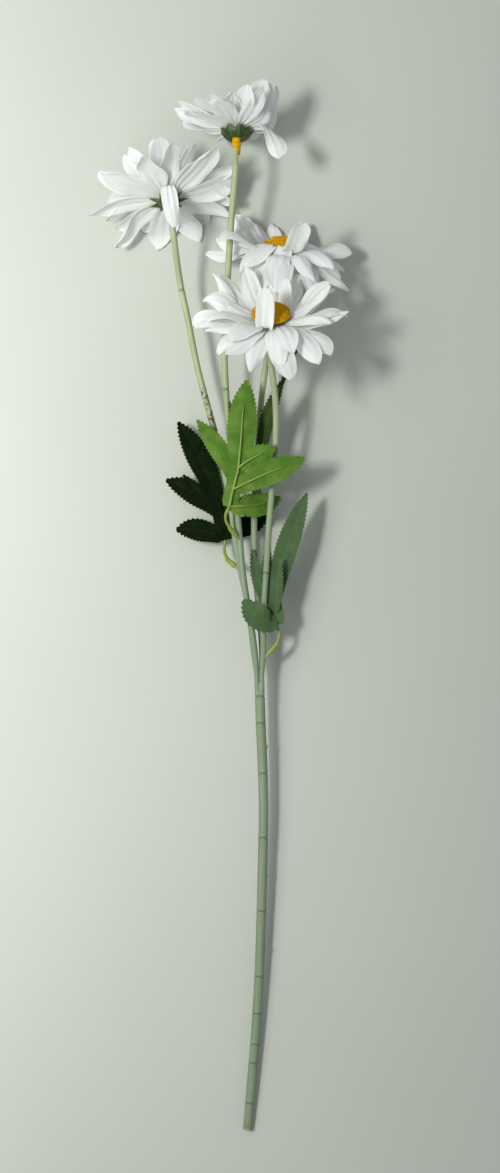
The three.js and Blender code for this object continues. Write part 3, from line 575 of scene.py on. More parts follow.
def petal_fabric():
    """White satin weave with fine pleat lines that run from the root to the tip."""
    graph = Graph("petal_satin", 0.68, Sheen_Weight=0.3, Specular_IOR_Level=0.22)
    along = graph.value("along")
    place = graph.vector(graph.value("across"), graph.times(along, 0.04), graph.value("tone"))
    lines = graph.noise(1.1, 4.0, place)
    white = graph.blend(lines, 0.38, 0.66, rgb(238, 241, 241), rgb(255, 255, 255))
    white = graph.blend(graph.noise(90.0), 0.35, 0.75, white, rgb(240, 243, 246), 0.35)
    root = graph.remap(along, 2.0, 12.0, 0.6, 0.0)
    graph.colour(graph.mix(root, white, rgb(232, 236, 208)))
    weave = graph.noise(3200.0, 0.0)
    graph.bump(graph.math("ADD", lines, graph.times(weave, 0.16)), 0.5, 0.0007)
    return graph.translucent(0.46, rgb(255, 255, 253))


def mottled(name, roughness, speckle, span, colours, over=None, grain=None, **sockets):
    """Two colours mixed by a noise, speckle, within its span.

    over is a value, its span, a colour laid over where it is high, and the largest share of that.
    grain is the scale, strength and distance of a fine bump.
    """
    graph = Graph(name, roughness, **sockets)
    colour = graph.blend(graph.noise(*speckle), *span, *colours)
    if over:
        value, low, high, high_colour, most = over
        colour = graph.blend(graph.value(value), low, high, colour, high_colour, most)
    graph.colour(colour)
    if grain:
        graph.bump(graph.noise(grain[0]), *grain[1:])
    return graph.material


def stem_plastic():
    """Pale green plastic skin with faint streaks along it, lighter high up, and stained by rust."""
    graph = Graph("stem_plastic", 0.5, Subsurface_Weight=0.12, Subsurface_Scale=0.003)
    place = graph.vector(graph.value("around"), graph.times(graph.value("along"), 0.03))
    streak = graph.noise(1.0, 3.0, place)
    low = graph.blend(streak, 0.3, 0.7, rgb(104, 126, 96), rgb(134, 152, 124))
    high = graph.blend(streak, 0.3, 0.7, rgb(140, 156, 110), rgb(176, 188, 148))
    green = graph.mix(graph.value("height"), low, high)
    green = graph.blend(graph.noise(70.0, 3.0), 0.4, 0.75, green, rgb(130, 138, 104), 0.4)
    green = graph.blend(graph.value("mark"), 0.1, 1.0, green, rgb(84, 96, 62), 0.6)
    patch = graph.remap(graph.noise(380.0, 3.0), 0.47, 0.6)
    graph.colour(graph.mix(graph.times(graph.value("rust"), patch), green, rgb(92, 60, 40)))
    grain = graph.noise(1400.0)
    graph.bump(graph.math("ADD", streak, graph.times(grain, 0.3)), 0.25, 0.0003)
    return graph.material


UNDERSIDE = rgb(72, 108, 36)


def leaf_fabric(name, top, haze):
    """Printed leaf fabric: a darker top, a lighter underside, and paler veins."""
    graph = Graph(name, 0.8, Specular_IOR_Level=0.05)
    away = graph.math("ABSOLUTE", graph.value("across"))
    run = graph.math("SUBTRACT", graph.value("along"), graph.times(away, VEIN_SLANT))
    wave = graph.math("SINE", graph.times(run, 2 * math.pi / VEIN_PITCH))
    vein = graph.remap(wave, 0.86, 1.0, 0.0, 0.4)
    midrib = graph.remap(away, 0.25, 0.6, 1.0, 0.0)
    lines = graph.math("MAXIMUM", vein, midrib)
    mottle = graph.remap(graph.noise(130.0, 4.0), 0.35, 0.7)
    upper = graph.mix(mottle, top, graph.mix(haze, top, rgb(120, 150, 80)))
    upper = graph.mix(graph.times(lines, 1.5 * haze), upper, rgb(100, 130, 84))
    lower = graph.mix(mottle, UNDERSIDE, graph.mix(0.35, UNDERSIDE, rgb(128, 158, 72)))
    lower = graph.mix(graph.times(lines, 0.3), lower, rgb(70, 104, 34))
    colour = graph.blend(graph.value("under"), 0.45, 0.55, upper, lower)
    grain = graph.noise(1500.0)
    lit = graph.mix(haze, colour, rgb(200, 215, 170))
    colour = graph.blend(grain, 0.3, 0.75, colour, lit, 0.3)
    graph.colour(colour)
    height = graph.math("SUBTRACT", graph.times(grain, 0.35), graph.times(lines, 0.5))
    graph.bump(height, 0.5, 0.0005)
    return graph.translucent(0.5 * haze, graph.mix(0.5, colour, rgb(110, 160, 40)))


# ---- Heads --------------------------------------------------------------------------------------


class HeadFrame:
    """The frame of a head: its axis, u to the image right and w towards the viewer above."""

    def __init__(self, head):
        self.hub = np.array(head["hub"], float)
        self.axis = unit(np.array(head["axis"], float))
        self.u = unit(RIGHT - self.axis * (RIGHT @ self.axis))
        self.w = np.cross(self.u, self.axis)

    def turned(self, angles, radii, heights):
        """Points about the axis, from numbers or arrays that fit together."""
        angles, radii, heights = (a[..., None] for a in np.broadcast_arrays(angles, radii, heights))
        out = radii * (np.cos(angles) * self.u + np.sin(angles) * self.w)
        return self.hub + out + heights * self.axis


HEAD_FRAMES = [HeadFrame(head) for head in HEADS]

# How far a draw moves a petal from its rule, in degrees, millimetres or shares
SPREAD = {
    "azimuth": 4, "rise": 11, "length": 2.2, "width": 0.9, "twist": 23, "sway": 13, "arch": 11,
    "cup": 0.08, "fullness": 0.5,
}
LAYER_SPREAD = 3  # degrees of rise between layers
CUP = 0.2  # how far a petal is rolled across its width
FULLEST = 1.3  # for petals by rule


def petals_of(head_index):
    """The petals of one head: three layers by rule with seeded draws, then the posed ones."""
    head = HEADS[head_index]
    rise = head["rise"]
    stray = head["stray"]
    petals = []
    for layer, root_rise in enumerate(LAYER_RISE):
        for index in range(PETALS_PER_LAYER):
            seed = 1000 * head_index + 100 * layer + 7 * index
            by_rule = head["turn"] + 360 / PETALS_PER_LAYER * (index + layer / 3)
            azimuth = by_rule + SPREAD["azimuth"] * stray * draw(seed)
            angle = math.radians(azimuth)
            swing = rise["front" if math.sin(angle) > 0 else "back"] * abs(math.sin(angle))
            swing += rise["right"] * math.cos(angle)
            swing += rise["sides"] * math.cos(angle) ** 2
            lift = rise["lift"] + swing + LAYER_SPREAD * (layer - 1)
            arch = rise["arch"] * math.cos(angle) ** 2
            length = head["long"] * LAYER_LENGTH[layer]
            width = head["wide"] * LAYER_WIDTH[layer]
            fullness = head["full"] + SPREAD["fullness"] * draw(seed + 15)
            petal = {
                "seed": seed,
                "azimuth": azimuth,
                "rootRise": root_rise,
                "height": LAYER_HEIGHT[layer],
                "rise": lift + SPREAD["rise"] * stray * draw(seed + 1),
                "bendStart": PETAL_FLAT,
                "bendEnd": head["bendEnd"],
                "length": length + SPREAD["length"] * stray * draw(seed + 2),
                "width": width + SPREAD["width"] * draw(seed + 3),
                "twist": SPREAD["twist"] * stray * draw(seed + 4) + head["face"] * math.cos(angle),
                "sway": SPREAD["sway"] * draw(seed + 5),
                "arch": SPREAD["arch"] * draw(seed + 6) + arch,
                "cup": CUP + SPREAD["cup"] * draw(seed + 7),
                "fullness": min(FULLEST, max(0, fullness)),
                "hump": 0,
                "roll": head["roll"] * (0.5 + draw(seed + 16)),
                "curl": head["curl"] * draw(seed + 17),
            }
            petal.update(head["posed"].get((layer, index), {}))
            petals.append(petal)
    return petals


def land_softly(direction, height):
    """Turns a direction that would run into the surface along it."""
    steepest = math.sqrt(min(1, max(0, (height - LOWEST) / SOFT_LANDING)))
    if -direction[2] <= steepest:
        return direction
    level = math.sqrt(1 - steepest * steepest) / math.hypot(direction[0], direction[1])
    return np.array([direction[0] * level, direction[1] * level, -steepest])


PETAL_STEPS = 40
HUMP_PLACE = 10  # along a petal that rises over the edge of the disc
HUMP_WIDTH = 3
CURL_START = 0.55  # share of the length
TWIST_SPAN = (0.2, 0.9)


def petal_spine(head_frame, petal):
    """Middle, width, normal and direction of a petal at even steps from its root to its tip."""
    angle = math.radians(petal["azimuth"])
    outward = math.cos(angle) * head_frame.u + math.sin(angle) * head_frame.w
    across = -math.sin(angle) * head_frame.u + math.cos(angle) * head_frame.w
    point = head_frame.hub + PETAL_ROOT * outward + petal["height"] * head_frame.axis
    stride = petal["length"] / PETAL_STEPS
    rows = []
    for step in range(PETAL_STEPS + 1):
        share = step / PETAL_STEPS
        bend = smoothstep(share * petal["length"], petal["bendStart"], petal["bendEnd"])
        arch = petal["arch"] * math.sin(math.pi * share) * bend
        past = (share * petal["length"] - HUMP_PLACE) / HUMP_WIDTH
        curl = petal["curl"] * smoothstep(share, CURL_START, 1)
        curl = curl + petal["hump"] * math.exp(-past * past)
        rise = math.radians(mix(petal["rootRise"], petal["rise"], bend) + arch + curl)
        sway = math.radians(petal["sway"] * share)
        twist = math.radians(petal["twist"] * smoothstep(share, *TWIST_SPAN))
        forward = outward * math.cos(sway) + across * math.sin(sway)
        direction = forward * math.cos(rise) + head_frame.axis * math.sin(rise)
        direction = land_softly(direction, point[2])
        side = across - direction * (across @ direction)
        side[2] *= min(1, max(0, point[2] / SOFT_LANDING))
        side = unit(side)
        front = np.cross(direction, side)
        width = side * math.cos(twist) + front * math.sin(twist)
        rows.append((point, width, unit(np.cross(direction, width)), direction))
        point = point + direction * stride
    return [np.array(column) for column in zip(*rows)]


PETAL_STATIONS = 27
PETAL_COLUMNS = np.linspace(-1, 1, 11)
ROOT_WIDTH = 0.3
BELLY_START = 0.42  # share of the length where a petal is first at its widest
TIP_WIDTH = 0.13
TIP_BULGE = 0.8
TIP_NOTCHES = 0.6
PLEAT_HEIGHT = 0.42
CREASE_HEIGHT = 0.7
RUFFLE_HEIGHT = 0.8
FLUTTER_HEIGHT = 0.4


def petal_outline(share, fullness):
    """Half width as a share of the widest; fullness runs from 0, a point, to a round tip past 1."""
    body = mix(ROOT_WIDTH, 1, smoothstep(share, 0, BELLY_START))
    start = mix(0.5, 0.66, fullness)
    closing = np.clip((share - start) / (1 - start), 0, 1) ** mix(1.7, 2.5, fullness)
    return body * np.maximum((1 - closing) ** mix(0.8, 0.5, fullness), TIP_WIDTH)


def add_petal(piece, head_frame, petal):
    """One petal: a thin cupped sheet with two pleats, a ruffled edge and a soft notched tip."""
    middle, width, normal, direction = petal_spine(head_frame, petal)
    spread = np.linspace(0, 1, PETAL_STATIONS)
    share = spread * (1.3 - 0.3 * spread)
    steps = np.linspace(0, 1, PETAL_STEPS + 1)
    at = [
        np.stack([np.interp(share, steps, column[:, k]) for k in range(3)], -1)
        for column in (middle, width, normal, direction)
    ]
    middle, width, normal, direction = (column[:, None] for column in at)
    s = share[:, None]
    a = PETAL_COLUMNS[None, :]
    seed = petal["seed"]
    half = 0.5 * petal["width"] * petal_outline(s, petal["fullness"])
    turn = 2 * petal["cup"] + petal["roll"] * smoothstep(s, 0.35, 1)
    reach = half * a * np.sinc(a * turn / math.pi)
    cup = half * a * np.sin(a * turn / 2) * np.sinc(a * turn / (2 * math.pi))
    pleats = PLEAT_HEIGHT * np.cos(3 * math.pi * a) * smoothstep(s, 0.02, 0.2)
    pleats = pleats * (1 - 0.8 * smoothstep(s, 0.5, 1))
    ruffle = RUFFLE_HEIGHT * np.sin(7 * s + 3 * draw(seed + 11)) * a**3
    ruffle = ruffle + FLUTTER_HEIGHT * np.sin(11 * s + 3 * draw(seed + 12)) * a**2
    crease = CREASE_HEIGHT * draw(seed + 13) * (1 - np.abs(a)) * smoothstep(s, 0.1, 0.5)
    rise = cup + pleats + crease + ruffle * smoothstep(s, 0.25, 0.75)
    notches = TIP_NOTCHES * np.cos(3 * math.pi * a + 2 * draw(seed + 14))
    tip = TIP_BULGE * (1 - a**2) + notches
    ahead = tip * smoothstep(s, 0.8, 1)
    sheet = middle + reach[..., None] * width + rise[..., None] * normal
    sheet = sheet + ahead[..., None] * direction
    lift = np.maximum(0, LOWEST - sheet[..., 2].min(axis=1, keepdims=True))
    sheet[..., 2] += lift
    thick = 0.5 * PETAL_THICKNESS * normal
    lanes = half * a
    along = s * petal["length"] + 0 * a
    piece.add(
        both_faces(sheet + thick, sheet - thick),
        across=both_faces(lanes, lanes),
        along=both_faces(along, along),
        tone=37.0 * draw(seed + 9),
    )


def hub_ring(head_frame):
    angles = np.linspace(0, 2 * math.pi, 32, endpoint=False)
    radii = np.array([[HUB_HOLE], [HUB_RADIUS], [HUB_RADIUS], [HUB_HOLE]])
    heights = HUB_HALF * np.array([[-1], [-1], [1], [1]])
    return head_frame.turned(angles, radii, heights)


def bloom(index, material):
    """The hub and the petals of a head, with the hub as white as a petal past its tinted root."""
    head_frame = HEAD_FRAMES[index]
    piece = Piece(f"bloom_{index + 1}")
    piece.add(hub_ring(head_frame), loop=True, along=20.0)
    for petal in petals_of(index):
        add_petal(piece, head_frame, petal)
    piece.finish(material, f"petals_{index + 1}")


FLORETS = 230
FLORET_RADIUS = 0.62
FLORET_SHAPE = ((1.0, -0.3), (0.95, 0.35), (0.55, 0.8), (0.15, 0.95))  # radius and height, as shares
GOLDEN_ANGLE = math.pi * (3 - math.sqrt(5))
STEEPEST_DOME = 1.6  # slope where the florets get all of the brown painted shade, as dark as the rim
DOME_RADII = [0, 3, 6.6, 10.2, 11.6, DISC_RADIUS]
DOME_HEIGHTS = [12.7, 12.6, 11.7, 9.4, 7.9, 6.9]


def dome_height(radius):
    """Height of the yellow disc over the hub at a distance from the axis."""
    return np.interp(radius, DOME_RADII, DOME_HEIGHTS)


def disc(index, material):
    """The yellow disc with its florets, its peg, and the sleeve with a slanted mouth."""
    head_frame = HEAD_FRAMES[index]
    piece = Piece(f"disc_{index + 1}")
    angles = np.linspace(0, 2 * math.pi, 48, endpoint=False)
    # rows are (radius, height, share of the brown painted shade, which darkens the rim and the
    # underside)
    domes = [0.3, 1.5, 3, 4.5, 6, 7.5, 9, 10.2, 11, 11.6, DISC_RADIUS]
    rows = [(radius, dome_height(radius), 0.0) for radius in domes]
    rows += [(DISC_RADIUS, DISC_RIM + 0.4, 1.0), (DISC_RADIUS - 0.4, DISC_RIM, 1.0), (8, 4.2, 1.0)]
    rows += [(3.6, HUB_HALF + GAP, 0.6), (PEG_RADIUS, HUB_HALF + GAP, 0.3), (PEG_RADIUS, -4, 0.2)]
    mouth = [
        (PEG_RADIUS - 0.1, SLEEVE_END), (PEG_RADIUS - 0.45, SLEEVE_END - 0.15),
        (SLEEVE_BORE, SLEEVE_END),
    ]
    rings = [head_frame.turned(angles, radius, height) for radius, height, _ in rows]
    for radius, height in mouth:
        heights = height - SLEEVE_SLANT * radius * np.cos(angles)
        rings.append(head_frame.turned(angles, radius, heights))
    rings.append(head_frame.turned(angles, SLEEVE_BORE, SLEEVE_FLOOR))
    # rim is the share of brown painted shade on each ring
    piece.add(rings, rim=[shade for _, _, shade in rows] + [0.3] * 4)
    for number in range(FLORETS):
        radius = (DISC_RADIUS - 0.2) * math.sqrt((number + 0.5) / FLORETS)
        angle = number * GOLDEN_ANGLE
        slope = (dome_height(radius + 0.2) - dome_height(radius - 0.2)) / 0.4
        add_floret(piece, head_frame, radius, angle, slope, number)
    piece.finish(material, f"centre_{index + 1}")


def add_floret(piece, head_frame, radius, angle, slope, number):
    """A small rounded bump that leans out with the dome."""
    height = dome_height(radius)
    foot = head_frame.turned(angle, radius, height)
    out = head_frame.turned(angle, radius + 1, height) - foot
    normal = unit(head_frame.axis - slope * out)
    side = unit(np.cross(normal, out))
    other = np.cross(side, normal)
    size = FLORET_RADIUS * (1 + 0.15 * draw(number))
    around = np.linspace(0, 2 * math.pi, 6, endpoint=False)[:, None]
    rings = []
    for share, height in FLORET_SHAPE:
        circle = np.cos(around) * side + np.sin(around) * other
        rings.append(foot + size * share * circle + size * height * normal)
    # rim here is brown painted shade, more of it where the dome is steeper
    piece.add(rings, rim=min(1.0, max(0.0, -slope / STEEPEST_DOME)))


# Rows are (radius, height). point sharpens the sepals, and narrow shortens those that point towards
# the viewer or away.
CALYX_SHAPES = {
    "cup": {
        "wall": [(4.8, CALYX_FLOOR), (6.9, -6.9), (8.4, -5.4)],
        "tip": (10.7, -1.8),
        "notch": (9.0, -4.2),
        "point": 1.0,
        "narrow": 0,
    },
    "star": {
        "wall": [(4.6, CALYX_FLOOR), (5.6, -7.1), (6.2, -5.8)],
        "tip": (13.0, -3.1),
        "notch": (6.9, -4.2),
        "point": 1.7,
        "narrow": 1,
    },
}


def calyx(index, material):
    """The calyx: a cup or a star whose rim runs to a point at each sepal."""
    shape = CALYX_SHAPES[HEADS[index]["sepals"]]
    piece = Piece(f"calyx_shell_{index + 1}")
    angles = np.linspace(0, 2 * math.pi, 16 * SEPALS, endpoint=False)
    point = (1 - np.arccos(np.cos(SEPALS * angles)) / math.pi) ** shape["point"]
    point *= np.abs(np.cos(angles)) ** shape["narrow"]
    keel = np.clip(np.cos(SEPALS * angles), 0, 1) ** 6

    def ring(radius, height, follow=0.0, inset=0.0):
        """follow blends the ring from a plain circle to the pointed rim."""
        tip_radius = mix(shape["notch"][0], shape["tip"][0], point)
        tip_height = mix(shape["notch"][1], shape["tip"][1], point)
        radii = mix(radius, tip_radius, follow) - inset + 0.18 * keel * (0.4 + 0.6 * follow)
        heights = mix(height, tip_height, follow) + inset
        return HEAD_FRAMES[index].turned(angles, radii, heights)

    wall = shape["wall"]
    outside = [ring(HUB_HOLE, CALYX_FLOOR)] + [ring(*row) for row in wall]
    outside += [ring(*wall[-1], follow=share) for share in (0.35, 0.7, 0.92, 1.0)]
    inside = [ring(*wall[-1], follow=share, inset=CALYX_WALL * 0.6) for share in (0.95, 0.5)]
    inside += [ring(radius, height, inset=CALYX_WALL) for radius, height in reversed(wall)]
    inside += [ring(HUB_HOLE + CALYX_WALL, CALYX_FLOOR, inset=CALYX_WALL)]
    rings = np.array(outside + inside)
    ribs = np.broadcast_to(keel, rings.shape[:2]).copy()
    ribs[len(outside):] *= 0.3
    piece.add(rings, loop=True, rib=ribs)
    piece.finish(material, f"calyx_{index + 1}")


# ---- Stems and wires ----------------------------------------------------------------------------

MARK_STATIONS = np.array([-2.6, -1.9, -1.4, -0.9, -0.45, 0, 0.45, 0.9, 1.4, 1.9, 2.6])
MARK_WIDTH = 0.5
LIP_PLACE = 1.4  # from the middle of a ring mark
CUT_STAIN = 1.6  # how far the rust runs up the skin from the cut end
CROWN = ((0.9, 0.7), (0.6, 1.2), (0.2, 1.4))  # share of the radius, and how far past the last ring
NECK = (26, 17.5, -STEM_TIP)  # along the axis of a head, where its stem runs straight
PALER_SPAN = (40, 230)  # along a branch, over which its green turns lighter
FLUTE_DEPTH = 0.05
BRANCH_FLUTE_DEPTH = 0.04
CLOVER_DEPTH = 0.45
WIRE_INSET = 0.5
WIRE_GAP = 8  # between the two stems, where the wire runs straight

lower_line = Line(LOWER_ROUTE)


def ring_marks(distances, marks):
    """How far the skin stands out: a groove with a lip on either side at each mark."""
    away = np.abs(distances[:, None] - np.array(marks, float))
    groove = -GROOVE_DEPTH * np.exp(-((away / MARK_WIDTH) ** 2))
    lips = GROOVE_LIP * np.exp(-(((away - LIP_PLACE) / MARK_WIDTH) ** 2))
    return (groove + lips).sum(axis=1)


def near_marks(distances, marks):
    """1 at a ring mark, and nearly 0 from two millimetres away."""
    away = np.abs(distances[:, None] - np.array(marks, float)).min(axis=1)
    return np.exp(-(away**2))


def stations(length, step, marks):
    """Distances at even steps, with more of them at each ring mark."""
    fine = (np.array(marks, float)[:, None] + MARK_STATIONS).reshape(-1)
    both = np.concatenate([even(0, length, step), fine[(fine > 0) & (fine < length)]])
    return np.unique(np.round(both, 3))


def round_the_stem(angles):
    """A number that changes round a stem and meets itself, for its streaks."""
    return 6 * np.cos(angles)[None, :] + 3 * np.sin(2 * angles)


def lower_stem(material):
    """The hollow lower stem: its bore down to the cut end, then its skin up to the branches."""
    piece = Piece("lower_stem_skin")
    sides = 28
    angles = angle_of(sides)
    along = stations(lower_line.length, 4, GROOVES)
    plain = mix(LOWER_RADIUS_CUT, LOWER_RADIUS_TOP, along / lower_line.length)
    collar = smoothstep(along, lower_line.length - COLLAR_LENGTH, lower_line.length)
    radii = (mix(plain, COLLAR_RADIUS, collar) + ring_marks(along, GROOVES))[:, None]
    flutes = FLUTE_DEPTH * np.cos(5 * angles + 0.4)
    clover = CLOVER_DEPTH * collar[:, None] * np.cos(4 * (angles - math.pi / 4))
    radii = radii + flutes + clover
    outside = circles(lower_line.frames(along), radii, sides)
    inner = even(0, lower_line.length - MOUTH_LENGTH, 12)[::-1]
    inside = circles(lower_line.frames(inner), np.full(len(inner), BORE_RADIUS), sides)
    end = lower_line.frames([lower_line.length])
    crown = [
        circles(end, radii[-1:] * share, sides) + ahead * end[1]
        for share, ahead in CROWN
    ]
    rings = np.concatenate([inside, outside] + crown)
    inner_count = len(inner)
    distance = np.concatenate([inner, along, np.full(len(CROWN), lower_line.length)])
    brown = np.exp(-distance / CUT_STAIN)
    brown[:inner_count] = np.maximum(brown[:inner_count], 0.5)
    near = near_marks(along, GROOVES)
    mark = np.concatenate([np.zeros(inner_count), near, np.zeros(len(CROWN))])
    piece.add(rings, along=distance, around=round_the_stem(angles), rust=brown, mark=mark)
    for place in SPURS:
        add_spur(piece, place)
    piece.finish(material, "stem_lower")


def add_spur(piece, distance):
    centre, tangent, side, _ = lower_line.frame(distance)
    root = centre + 2.3 * side
    tip = centre + 4.2 * side + 1.6 * tangent
    piece.add(bar(root, tip, [1.3, 1.0, 0.7, 0.5, 0.2], 10), along=distance)


def branch_line(index):
    """The middle of a branch stem, from the top of the lower stem to its head."""
    branch = BRANCHES[index]
    head_frame = HEAD_FRAMES[index]
    centre, tangent, side, up = lower_line.frame(lower_line.length)
    root = centre + GAP * tangent + BRANCH_OFFSET * (branch["side"] * side + branch["rise"] * up)
    tips = [head_frame.hub - depth * head_frame.axis for depth in NECK]
    return Line([root, root + 5 * tangent, *np.array(branch["route"], float), *tips])


def branch_stem(index, material):
    """A branch stem with its ring marks, and the pegs that the leaf sleeves plug on."""
    branch = BRANCHES[index]
    marks = branch["grooves"]
    line = branch_line(index)
    piece = Piece(f"branch_{index + 1}_skin")
    sides = 20
    angles = angle_of(sides)
    along = stations(line.length, 4, marks)
    radii = mix(BRANCH_ROOT_RADIUS, BRANCH_RADIUS, smoothstep(along, 0, BRANCH_ROOT_LENGTH))
    radii = radii + ring_marks(along, marks)
    tip_start = line.length - BRANCH_TIP_LENGTH
    radii = mix(radii, BRANCH_TIP_RADIUS, smoothstep(along, tip_start - 3, tip_start))
    radii = radii[:, None] + BRANCH_FLUTE_DEPTH * np.cos(4 * angles + index)
    frames = line.frames(along)
    sunk = frames[0].copy()
    sunk[0] -= 4 * frames[1][0]
    rings = circles((sunk, *frames[1:]), radii, sides)
    rust = np.zeros(len(along))
    if "rust" in branch:
        first, last = branch["rust"]
        rust = smoothstep(along, first - 6, first) * (1 - smoothstep(along, last, last + 6))
    piece.add(
        rings, along=along[:, None] + 400 * index, around=round_the_stem(angles),
        rust=rust, mark=near_marks(along, marks), height=smoothstep(along, *PALER_SPAN),
    )
    for leaf in LEAVES:
        if leaf["stem"] == index:
            foot, end = np.array(leaf["peg"], float)
            peg = np.linspace(LEAF_PEG_RADIUS + 0.25, LEAF_PEG_RADIUS, 4)
            piece.add(bar(foot, end, peg, 12), along=50.0)
    piece.finish(material, f"stem_{index + 1}")


def wire(index, material):
    """One wire: from just inside the cut end, through the lower stem and on up its branch."""
    branch = BRANCHES[index]
    piece = Piece(f"wire_{index + 1}_steel")
    along = even(WIRE_INSET, lower_line.length, 8)
    centre, tangent, side, up = lower_line.frames(along)
    opening = smoothstep(along, lower_line.length - MOUTH_LENGTH, lower_line.length)
    offset = mix(WIRE_OFFSET, BRANCH_OFFSET, opening)[:, None]
    centre = centre + offset * (branch["side"] * side + branch["rise"] * up)
    line = branch_line(index)
    upper = line.frames(even(WIRE_GAP, line.length - 1, 8))
    frames = [np.concatenate(pair) for pair in zip((centre, tangent, side, up), upper)]
    piece.add(circles(frames, np.full(len(frames[0]), WIRE_RADIUS), 8))
    piece.finish(material, f"wire_{index + 1}")


# ---- Leaves -------------------------------------------------------------------------------------

BLADE_COLUMNS = np.array([-1, -0.86, -0.6, -0.3, 0, 0.3, 0.6, 0.86, 1])
LAYER_STEP = 0.06  # between lobes that overlap at their roots
FOLD = 0.16  # fall of a blade to its edge, as a share of the distance from the midrib
WAVE = 0.45
EMBOSSING = 0.13


def lobe_outline(share):
    """Half width of a lobe along it, as a share of the widest."""
    widest = 0.5
    rising = 0.68 + 0.32 * smoothstep(share, 0, widest)
    falling = np.clip((share - widest) / (1 - widest), 0, 1)
    falling = (1 - falling**2) ** 0.78
    rounded = 0.6 + 0.4 * smoothstep(share, 0, 0.08)
    return np.where(share < widest, rising * rounded, falling)


def embossed(along, across):
    """Height of the pressed veins: two rows of slanting ridges off the midrib."""
    run = along - VEIN_SLANT * np.abs(across)
    ridge = np.cos(2 * math.pi * run / VEIN_PITCH)
    return EMBOSSING * ridge * smoothstep(np.abs(across), 0.6, 2.5)


def add_blade(piece, frames, along, half, edge, ribs, order, lean=0.0, wave=0.0):
    """A thin blade along a midrib: half is its plain half width, edge that of its toothed rim.

    lean moves the rim along, and wave makes the blade uneven.
    """
    centre, tangent, side, up = (column[:, None] for column in frames)
    a = BLADE_COLUMNS[None, :]
    is_rim = np.abs(a) == 1
    across = np.where(is_rim, edge[:, None] * a, half[:, None] * a * 0.97)
    ahead = np.where(is_rim, np.asarray(lean, float).reshape(-1, 1), 0.0)
    fold = -ribs * FOLD * np.abs(across)
    s = (along / along[-1])[:, None]
    drift = wave * np.sin(2.6 * math.pi * s + order) * a**2
    drift = drift + 0.6 * wave * np.sin(4.4 * math.pi * s) * a
    rise = fold + embossed(along[:, None], across) + drift + LAYER_STEP * order
    sheet = centre + across[..., None] * side + rise[..., None] * up + ahead[..., None] * tangent
    thick = 0.5 * BLADE_THICKNESS * up
    lengths = along[:, None] + 0 * a
    ribbed = np.full(across.shape, float(ribs > 0))
    piece.add(
        both_faces(sheet + thick, sheet - thick),
        across=both_faces(across, across),
        along=both_faces(lengths, lengths),
        under=both_faces(ribbed, 1 - ribbed),
    )


def leaf_blade(leaf, material):
    """The fabric of a leaf: a narrow blade along its spine, and its lobes laid over that."""
    piece = Piece(f"leaf_{leaf['name']}_fabric")
    line = Line(leaf["spine"])
    along = even(0, line.length, 1.2)
    half = SPINE_HALF_WIDTH * (0.75 + 0.25 * smoothstep(along, 0, 4))
    add_blade(piece, line.frames(along), along, half, half, leaf["ribs"], -1)
    for order, lobe in enumerate(leaf["lobes"]):
        line = Line(lobe["path"])
        teeth = max(3, round(line.length / TOOTH_PITCH))
        along = np.linspace(0, line.length, 4 * teeth + 1)
        share = along / line.length
        half = 0.5 * lobe["width"] * lobe_outline(share)
        tooth = TOOTH_SHAPE[np.arange(len(along)) % 4]
        notch = half - TOOTH_DEPTH * np.minimum(1, half / 3)
        edge = np.maximum(0.25, mix(notch, half, tooth))
        lean = TOOTH_LEAN * TOOTH_PITCH * tooth
        half = np.maximum(0.2, notch)
        add_blade(piece, line.frames(along), along, half, edge, leaf["ribs"], order, lean, WAVE)
    piece.finish(material, f"leaf_blade_{leaf['name']}", sharp=55)


def rib_rings(path, rib_side, reach, start_radius, end_radius):
    """A tapered rib that lies on a blade, and how far along it each ring is."""
    line = Line(path)
    along = even(0, line.length * reach, 2.0)
    share = along / along[-1]
    radii = mix(start_radius, end_radius, share) * (1 - 0.85 * smoothstep(share, 0.93, 1))
    centre, tangent, side, up = line.frames(along)
    lift = BLADE_HALF_CAD + GAP + mix(start_radius, end_radius, share)
    lift = lift - 0.35 * smoothstep(share, 0.1, 0.9)
    centre = centre + rib_side * lift[:, None] * up
    return circles((centre, tangent, side, up), radii, 10), share


def leaf_ribs(leaf, material):
    """The plastic skeleton of a leaf: sleeve, petiole, midrib and side ribs."""
    piece = Piece(f"leaf_{leaf['name']}_skeleton")
    foot, peg_end = np.array(leaf["peg"], float)
    direction = unit(peg_end - foot)
    sleeve_start = foot + LEAF_SLEEVE_START * direction
    sleeve_end = sleeve_start + LEAF_SLEEVE_LENGTH * direction
    spine = Line(leaf["spine"])
    centre, _, _, up = spine.frames([0, 6])
    joined = centre + leaf["ribs"] * (BLADE_HALF_CAD + GAP + PETIOLE_RADIUS) * up
    stalk = Line([sleeve_end - 2 * direction, *np.array(leaf["petiole"], float), *joined])
    along = even(0, stalk.length, 1.5)
    swelling = 1 + 0.25 * np.exp(-along / 4)
    piece.add(circles(stalk.frames(along), PETIOLE_RADIUS * swelling, 12), fade=0.2)
    sleeve = LEAF_SLEEVE_RADIUS * np.array([0.86, 1, 1.06, 1, 0.97, 0.95, 0.9, 0.84, 0.72])
    piece.add(bar(sleeve_start, sleeve_end, sleeve, 16), fade=0.0)
    rings, share = rib_rings(leaf["spine"], leaf["ribs"], 1, PETIOLE_RADIUS, RIB_RADIUS)
    piece.add(rings, fade=0.3 + 0.3 * share)
    for lobe in leaf["lobes"]:
        if not lobe["plain"]:
            rings, share = rib_rings(lobe["path"], leaf["ribs"], RIB_REACH, RIB_RADIUS, 0.5)
            piece.add(rings, fade=0.4 + 0.6 * share)
    piece.finish(material, f"leaf_ribs_{leaf['name']}")


# ---- Camera, light and floor --------------------------------------------------------------------

